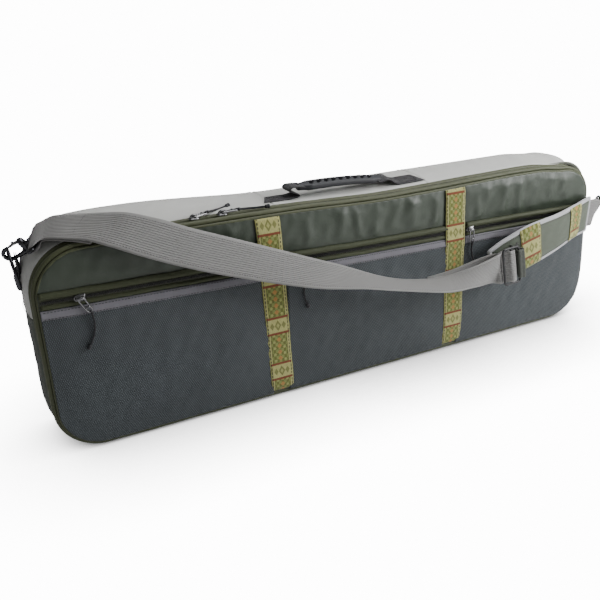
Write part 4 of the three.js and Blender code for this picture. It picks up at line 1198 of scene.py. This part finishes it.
# ------------------------------------------------------------------ shoulder strap
# Each row of these tables is a point on the band's upper edge and one on its lower edge.
STRAP = [
    (-368, 19, 270, -386, -22, 259), (-350, 7, 273, -374, -32, 261), (-329, -8, 275, -358, -42, 261),
    (-309, -25, 278, -342, -53, 259), (-291, -41, 278, -324, -63, 253), (-266, -52, 271, -297, -69, 240),
    (-234, -57, 257, -261, -71, 223), (-186, -59, 237, -214, -75, 204), (-104, -64, 203, -136, -84, 178),
    (-51, -68, 181, -87, -91, 165), (10, -70, 154, -28, -94, 153), (60, -70, 139, 24, -95, 140),
    (110, -75, 136, 90, -105, 127), (150, -84, 145, 140, -98, 120), (186, -89, 156, 185, -82, 111)]
TAIL = [(194, -83, 154, 193, -76, 111), (187, -76, 153, 186, -70, 112), (158, -70, 146, 156, -72, 112),
        (125, -62, 135, 120, -83, 120), (92, -57, 130, 88, -88, 121)]
PAD = [(190, -66, 152, 213, -62, 108), (212, -69, 165, 228, -65, 109), (251, -74, 181, 268, -69, 120),
       (305, -70, 187, 320, -65, 134), (350, -62, 193, 356, -58, 143), (385, -53, 197, 387, -52, 147)]
STRAP_END = (404, -51.5, 193, 405, -47, 149)
ADJ = basis((214, -87.5, 134), (1, 0.02, 0.06), (0, -1, 0.18))
LEFT_TWIST = ("case", "strap", (-0.378, 0, 0.262), (-0.292, -0.05, 0.262))
RIGHT_TWIST = ("case", "strap", (0.392, -0.055, 0.17), (0.250, -0.07, 0.155))


def wrap_rows(bar, axis_dir, e1, e2, half, layers):
    """Edge rows of webbing going round a bar: layers are (distance along e1, distance along e2)."""
    return [(*(bar + e1 * a + e2 * b + axis_dir * half), *(bar + e1 * a + e2 * b - axis_dir * half)) for a, b in layers]


def adjuster_rows(half, layers):
    """Edge rows of webbing through the adjuster: layers are (local X, local Z)."""
    return [(*local(ADJ, (x, half, z)), *local(ADJ, (x, -half, z))) for x, z in layers]


def strap_sheet(name, rows, count, mat, t=1.7, half=0.023, wave=0.0):
    """A cupped band between two edges, with a slow ripple of height wave along it."""
    R = catmull(rows, count)
    v = np.linspace(0, 1, 15)
    C = R[:, None, 3:] + (R[:, :3] - R[:, 3:])[:, None] * v[None, :, None]
    tw = 2 * v - 1
    cup = 0.9 * (np.abs(tw) ** 2.0)[None, :, None]
    s = np.arange(count)[:, None]
    ripple = wave * (np.sin(s / 3.1) * tw[None] + 0.6 * np.sin(s / 5.3 + 1) * (1 - 2 * v)[None] ** 2)
    C = C + grid_normals(C) * (ripple[..., None] - cup * 0.4)
    return sheet(name, C, t, mat, None, tw * half)


bar, ax = BARS["left"]
rows = wrap_rows(bar, ax[2], ax[0], -ax[1], 23, [(4, -3.9), (-2.6, -3.0), (-4.0, 0.2), (-2.4, 3.2), (4.0, 3.6)])
low = []
for row, drop in zip(STRAP[3::-1], (3.2, 3.2, 3.0, 2.6)):
    a, b = np.array(row[:3]), np.array(row[3:])
    low.append((*(a + (0.0, 0.3, -drop)), *(b + (0.0, 0.3, -drop))))
through = adjuster_rows(22.5, [(-19, -3.2), (-12.5, -3.7), (-6.6, 0.2), (-3.6, 3.2), (0, 3.9), (3.6, 3.2), (6.2, -0.5),
                               (3.4, -4.4), (-4, -6.4), (-12, -7.6)])
o = strap_sheet("strap_webbing_long", low + rows + STRAP + through + TAIL, 420, M["strap"], wave=0.25)
bridge(o, "grey_webbing", *LEFT_TWIST, "strap_webbing")

# Stitches that hold the band's turned end down, near the left hook.
a, b = np.array(STRAP[2][:3], float), np.array(STRAP[2][3:], float)
c, d = np.array(STRAP[0][:3], float), np.array(STRAP[0][3:], float)
n = unit(np.cross(a - b, c - a))
n = n if n[2] > 0 else -n
items = []
for f in (0.12, 0.34, 0.5):
    p, q = a + (c - a) * f, b + (d - b) * f
    items += stitch_row(np.linspace(p + (q - p) * 0.12, p + (q - p) * 0.88, 14) + n * 0.9, n, 3.0, 0.62, 0.5, 0.4)
bridge(boxes("strap_hem_stitches", items, M["thread_dark"]), "grey_webbing", *LEFT_TWIST)

# Hem at the free end of the tail.
a, b = np.array(TAIL[-1][:3]), np.array(TAIL[-1][3:])
c = np.array(TAIL[-2][:3]) - a
hem = [(*(a + c * k + (0, -1.5, 0)), *(b + c * k + (0, -1.5, 0))) for k in (0.0, 0.15, 0.3, 0.42)]
put(strap_sheet("strap_tail_hem", hem, 16, M["strap"], 1.6), "strap", "grey_webbing")

# Slide adjuster: a rounded frame with a ribbed bar across its middle.
loop = [(-14, -22.5), (-14, 22.5), (-11.5, 25.4), (11.5, 25.4), (14, 22.5), (14, -22.5), (11.5, -25.4), (-11.5, -25.4)]
pts = [(x0 + (x1 - x0) * k, y0 + (y1 - y0) * k, 0) for (x0, y0), (x1, y1) in zip(loop, loop[1:] + loop[:1])
       for k in np.linspace(0, 1, 7)[:-1]]
parts = [wire(ADJ, pts, 1.75, M["black_plastic"], 14, True, 2, squash=0.8),
         wire(ADJ, [(0, y, 0) for y in np.linspace(-24.5, 24.5, 24)], [1.7 * (1 + 0.06 * (k % 2)) for k in range(24)],
              M["black_plastic"], 12, False, 2)]
put(join_as("strap_adjuster", parts), "strap", "black_plastic", "adjuster")

# ------------------------------------------------------------------ shoulder pad
NPAD, MPAD = 110, 31
R = catmull(PAD, NPAD)
v = np.linspace(0, 1, MPAD)
C = R[:, None, 3:] + (R[:, :3] - R[:, 3:])[:, None] * v[None, :, None]
PAD_N = grid_normals(C)
if PAD_N[NPAD // 2, MPAD // 2, 1] > 0:
    PAD_N = -PAD_N
s = arc(C) * 1000
tw = 2 * v - 1
rim = np.minimum(np.minimum(s[:, None], s[-1] - s[:, None]), (1 - np.abs(tw))[None] * 27)
dome = np.clip(rim / 8, 0, 1) ** 0.55
PAD_T = 2.2 + 4.6 * dome + 0.35 * FINE(s[:, None], (tw * 40)[None]) * dome
PAD_C = C + PAD_N * (0.4 * dome[..., None])
pad = sheet("shoulder_pad_cushion", PAD_C, PAD_T, M["pad"], s * 0.001, tw * 0.026)
bridge(pad, "pad_fabric", *RIGHT_TWIST, "shoulder_pad")


def pad_face(i, lift):
    """Points lift above the pad's outer face, at row or rows i."""
    return PAD_C[i] + PAD_N[i] * (PAD_T[i][..., None] / 2 + lift)


path = np.concatenate([PAD_C[:, 0], PAD_C[-1, 1:], PAD_C[-2::-1, -1], PAD_C[0, -2:0:-1]])
step = np.linalg.norm(np.diff(path, axis=0), axis=1)
path = path[np.concatenate([[True], step > 0.4])]
o = tube("shoulder_pad_binding", path, 3.4, M["pad_binding"], 14, True, (0, -1, 0), squash=0.82)
bridge(o, "binding", *RIGHT_TWIST)
items = []
for k in (2, MPAD - 3):
    N, rise = PAD_N[2:-2, k], PAD_N[2:-2, k] * (PAD_T[2:-2, k, None] / 2 + 0.15)
    items += stitch_row(PAD_C[2:-2, k] + rise, N, 3.4, 0.62, 0.5, 0.45)
    items += stitch_row(PAD_C[2:-2, k] - rise, -N, 3.4, 0.62, 0.5, 0.45)
bridge(boxes("shoulder_pad_stitches", items, M["thread_dark"]), "binding", *RIGHT_TWIST)

# Bands of the same ribbon sewn over the pad, wrapping its edges.
for side, u0, u1, ph in (("left", 0.325, 0.475, 0.012), ("right", 0.72, 0.86, 0.034)):
    I = np.arange(int(u0 * (NPAD - 1)), int(u1 * (NPAD - 1)) + 1)
    G = pad_face(I, 0.55) + PAD_N[I] * (1.1 * (np.abs(tw) ** 8)[None, :, None])
    G[:, 0] += (G[:, 0] - G[:, 2]) * 0.55
    G[:, -1] += (G[:, -1] - G[:, -3]) * 0.55
    weave = ribbon_cloth(f"patterned_pad_ribbon_{side}", (s[I[-1]] - s[I[0]]) / 2000, ph)
    o = sheet(f"pad_ribbon_{side}_weave", G, 0.7, weave, (s[I] - s[I].mean()) * 0.001, tw * 0.026)
    bridge(o, "patterned_ribbon", *RIGHT_TWIST, f"pad_ribbon_{side}")

# Dark webbing from the adjuster's outer bar to the pad, sewn down under the first ribbon.
rows = adjuster_rows(20.5, [(24, -2.6), (15, -4.0), (10.8, -1.2), (11.6, 2.6), (15.5, 3.0), (22, 1.5)])
for q in (0.24, 0.30, 0.36):
    g = pad_face(int(q * (NPAD - 1)), -0.25)
    rows.append((*g[MPAD - 5], *g[4]))
bridge(strap_sheet("pad_lead_webbing", rows, 70, M["pad_web"], 1.4, 0.0205), "pad_fabric", *RIGHT_TWIST)

# Webbing from the pad round the corner and through the right hook's eye, then sewn back on itself.
bar, ax = BARS["right"]
ex = square_to((1.0, 0, 0), ax[2])
ey = np.cross(ax[2], ex)
ey = ey if ey[1] < 0 else -ey
rows = []
for k in (0.90, 0.97):
    i = int(k * (NPAD - 1))
    g = PAD_C[i] - PAD_N[i] * (PAD_T[i][:, None] / 2 + 0.9)
    rows.append((*g[MPAD - 4], *g[3]))
rows += [STRAP_END]
rows += wrap_rows(bar, ax[2], ex, ey, 22.6, [(-3.0, 6.6), (0.4, 3.9), (3.2, 2.4), (4.0, -0.4), (2.6, -3.0), (-0.6, -3.6),
                                             (-6, -1.5)])
put(strap_sheet("strap_end_loop", rows, 80, M["strap"]), "case", "grey_webbing", "strap_end")

# ------------------------------------------------------------------ floor
# Floor: to the camera it glows as bright as the backdrop, dimmed near the case by ambient occlusion (a painted contact
# shadow); to every other ray it is plain pale board.
me = bpy.data.meshes.new("floor")
me.from_pydata([(x, y, -0.0005) for x, y in ((-20, -20), (20, -20), (20, 20), (-20, 20))], [], [(0, 1, 2, 3)])
floor = bpy.data.objects.new("floor", me)
bpy.context.scene.collection.objects.link(floor)
fm = bpy.data.materials.new("pale_floor")
fm.use_nodes = True
tree = fm.node_tree
board = tree.nodes["Principled BSDF"]
board.inputs["Base Color"].default_value = (0.85, 0.85, 0.85, 1)
board.inputs["Roughness"].default_value = 0.7
# Ambient occlusion to the power 2.6, times WHITE, sets the glow: the painted contact shadow round the case's foot.
painted_shadow_ao = tree.nodes.new("ShaderNodeAmbientOcclusion")
painted_shadow_ao.inputs["Distance"].default_value = 0.16
power = tree.nodes.new("ShaderNodeMath")
power.operation, power.inputs[1].default_value = "POWER", 2.6
level = tree.nodes.new("ShaderNodeMath")
level.operation, level.inputs[1].default_value = "MULTIPLY", WHITE
glow = tree.nodes.new("ShaderNodeEmission")
ray = tree.nodes.new("ShaderNodeLightPath")
mix = tree.nodes.new("ShaderNodeMixShader")
for a, b in ((painted_shadow_ao.outputs["AO"], power.inputs[0]), (power.outputs[0], level.inputs[0]),
             (level.outputs[0], glow.inputs["Strength"]), (ray.outputs["Is Camera Ray"], mix.inputs[0]),
             (board.outputs[0], mix.inputs[1]), (glow.outputs[0], mix.inputs[2]),
             (mix.outputs[0], tree.nodes["Material Output"].inputs[0])):
    tree.links.new(a, b)
me.materials.append(fm)
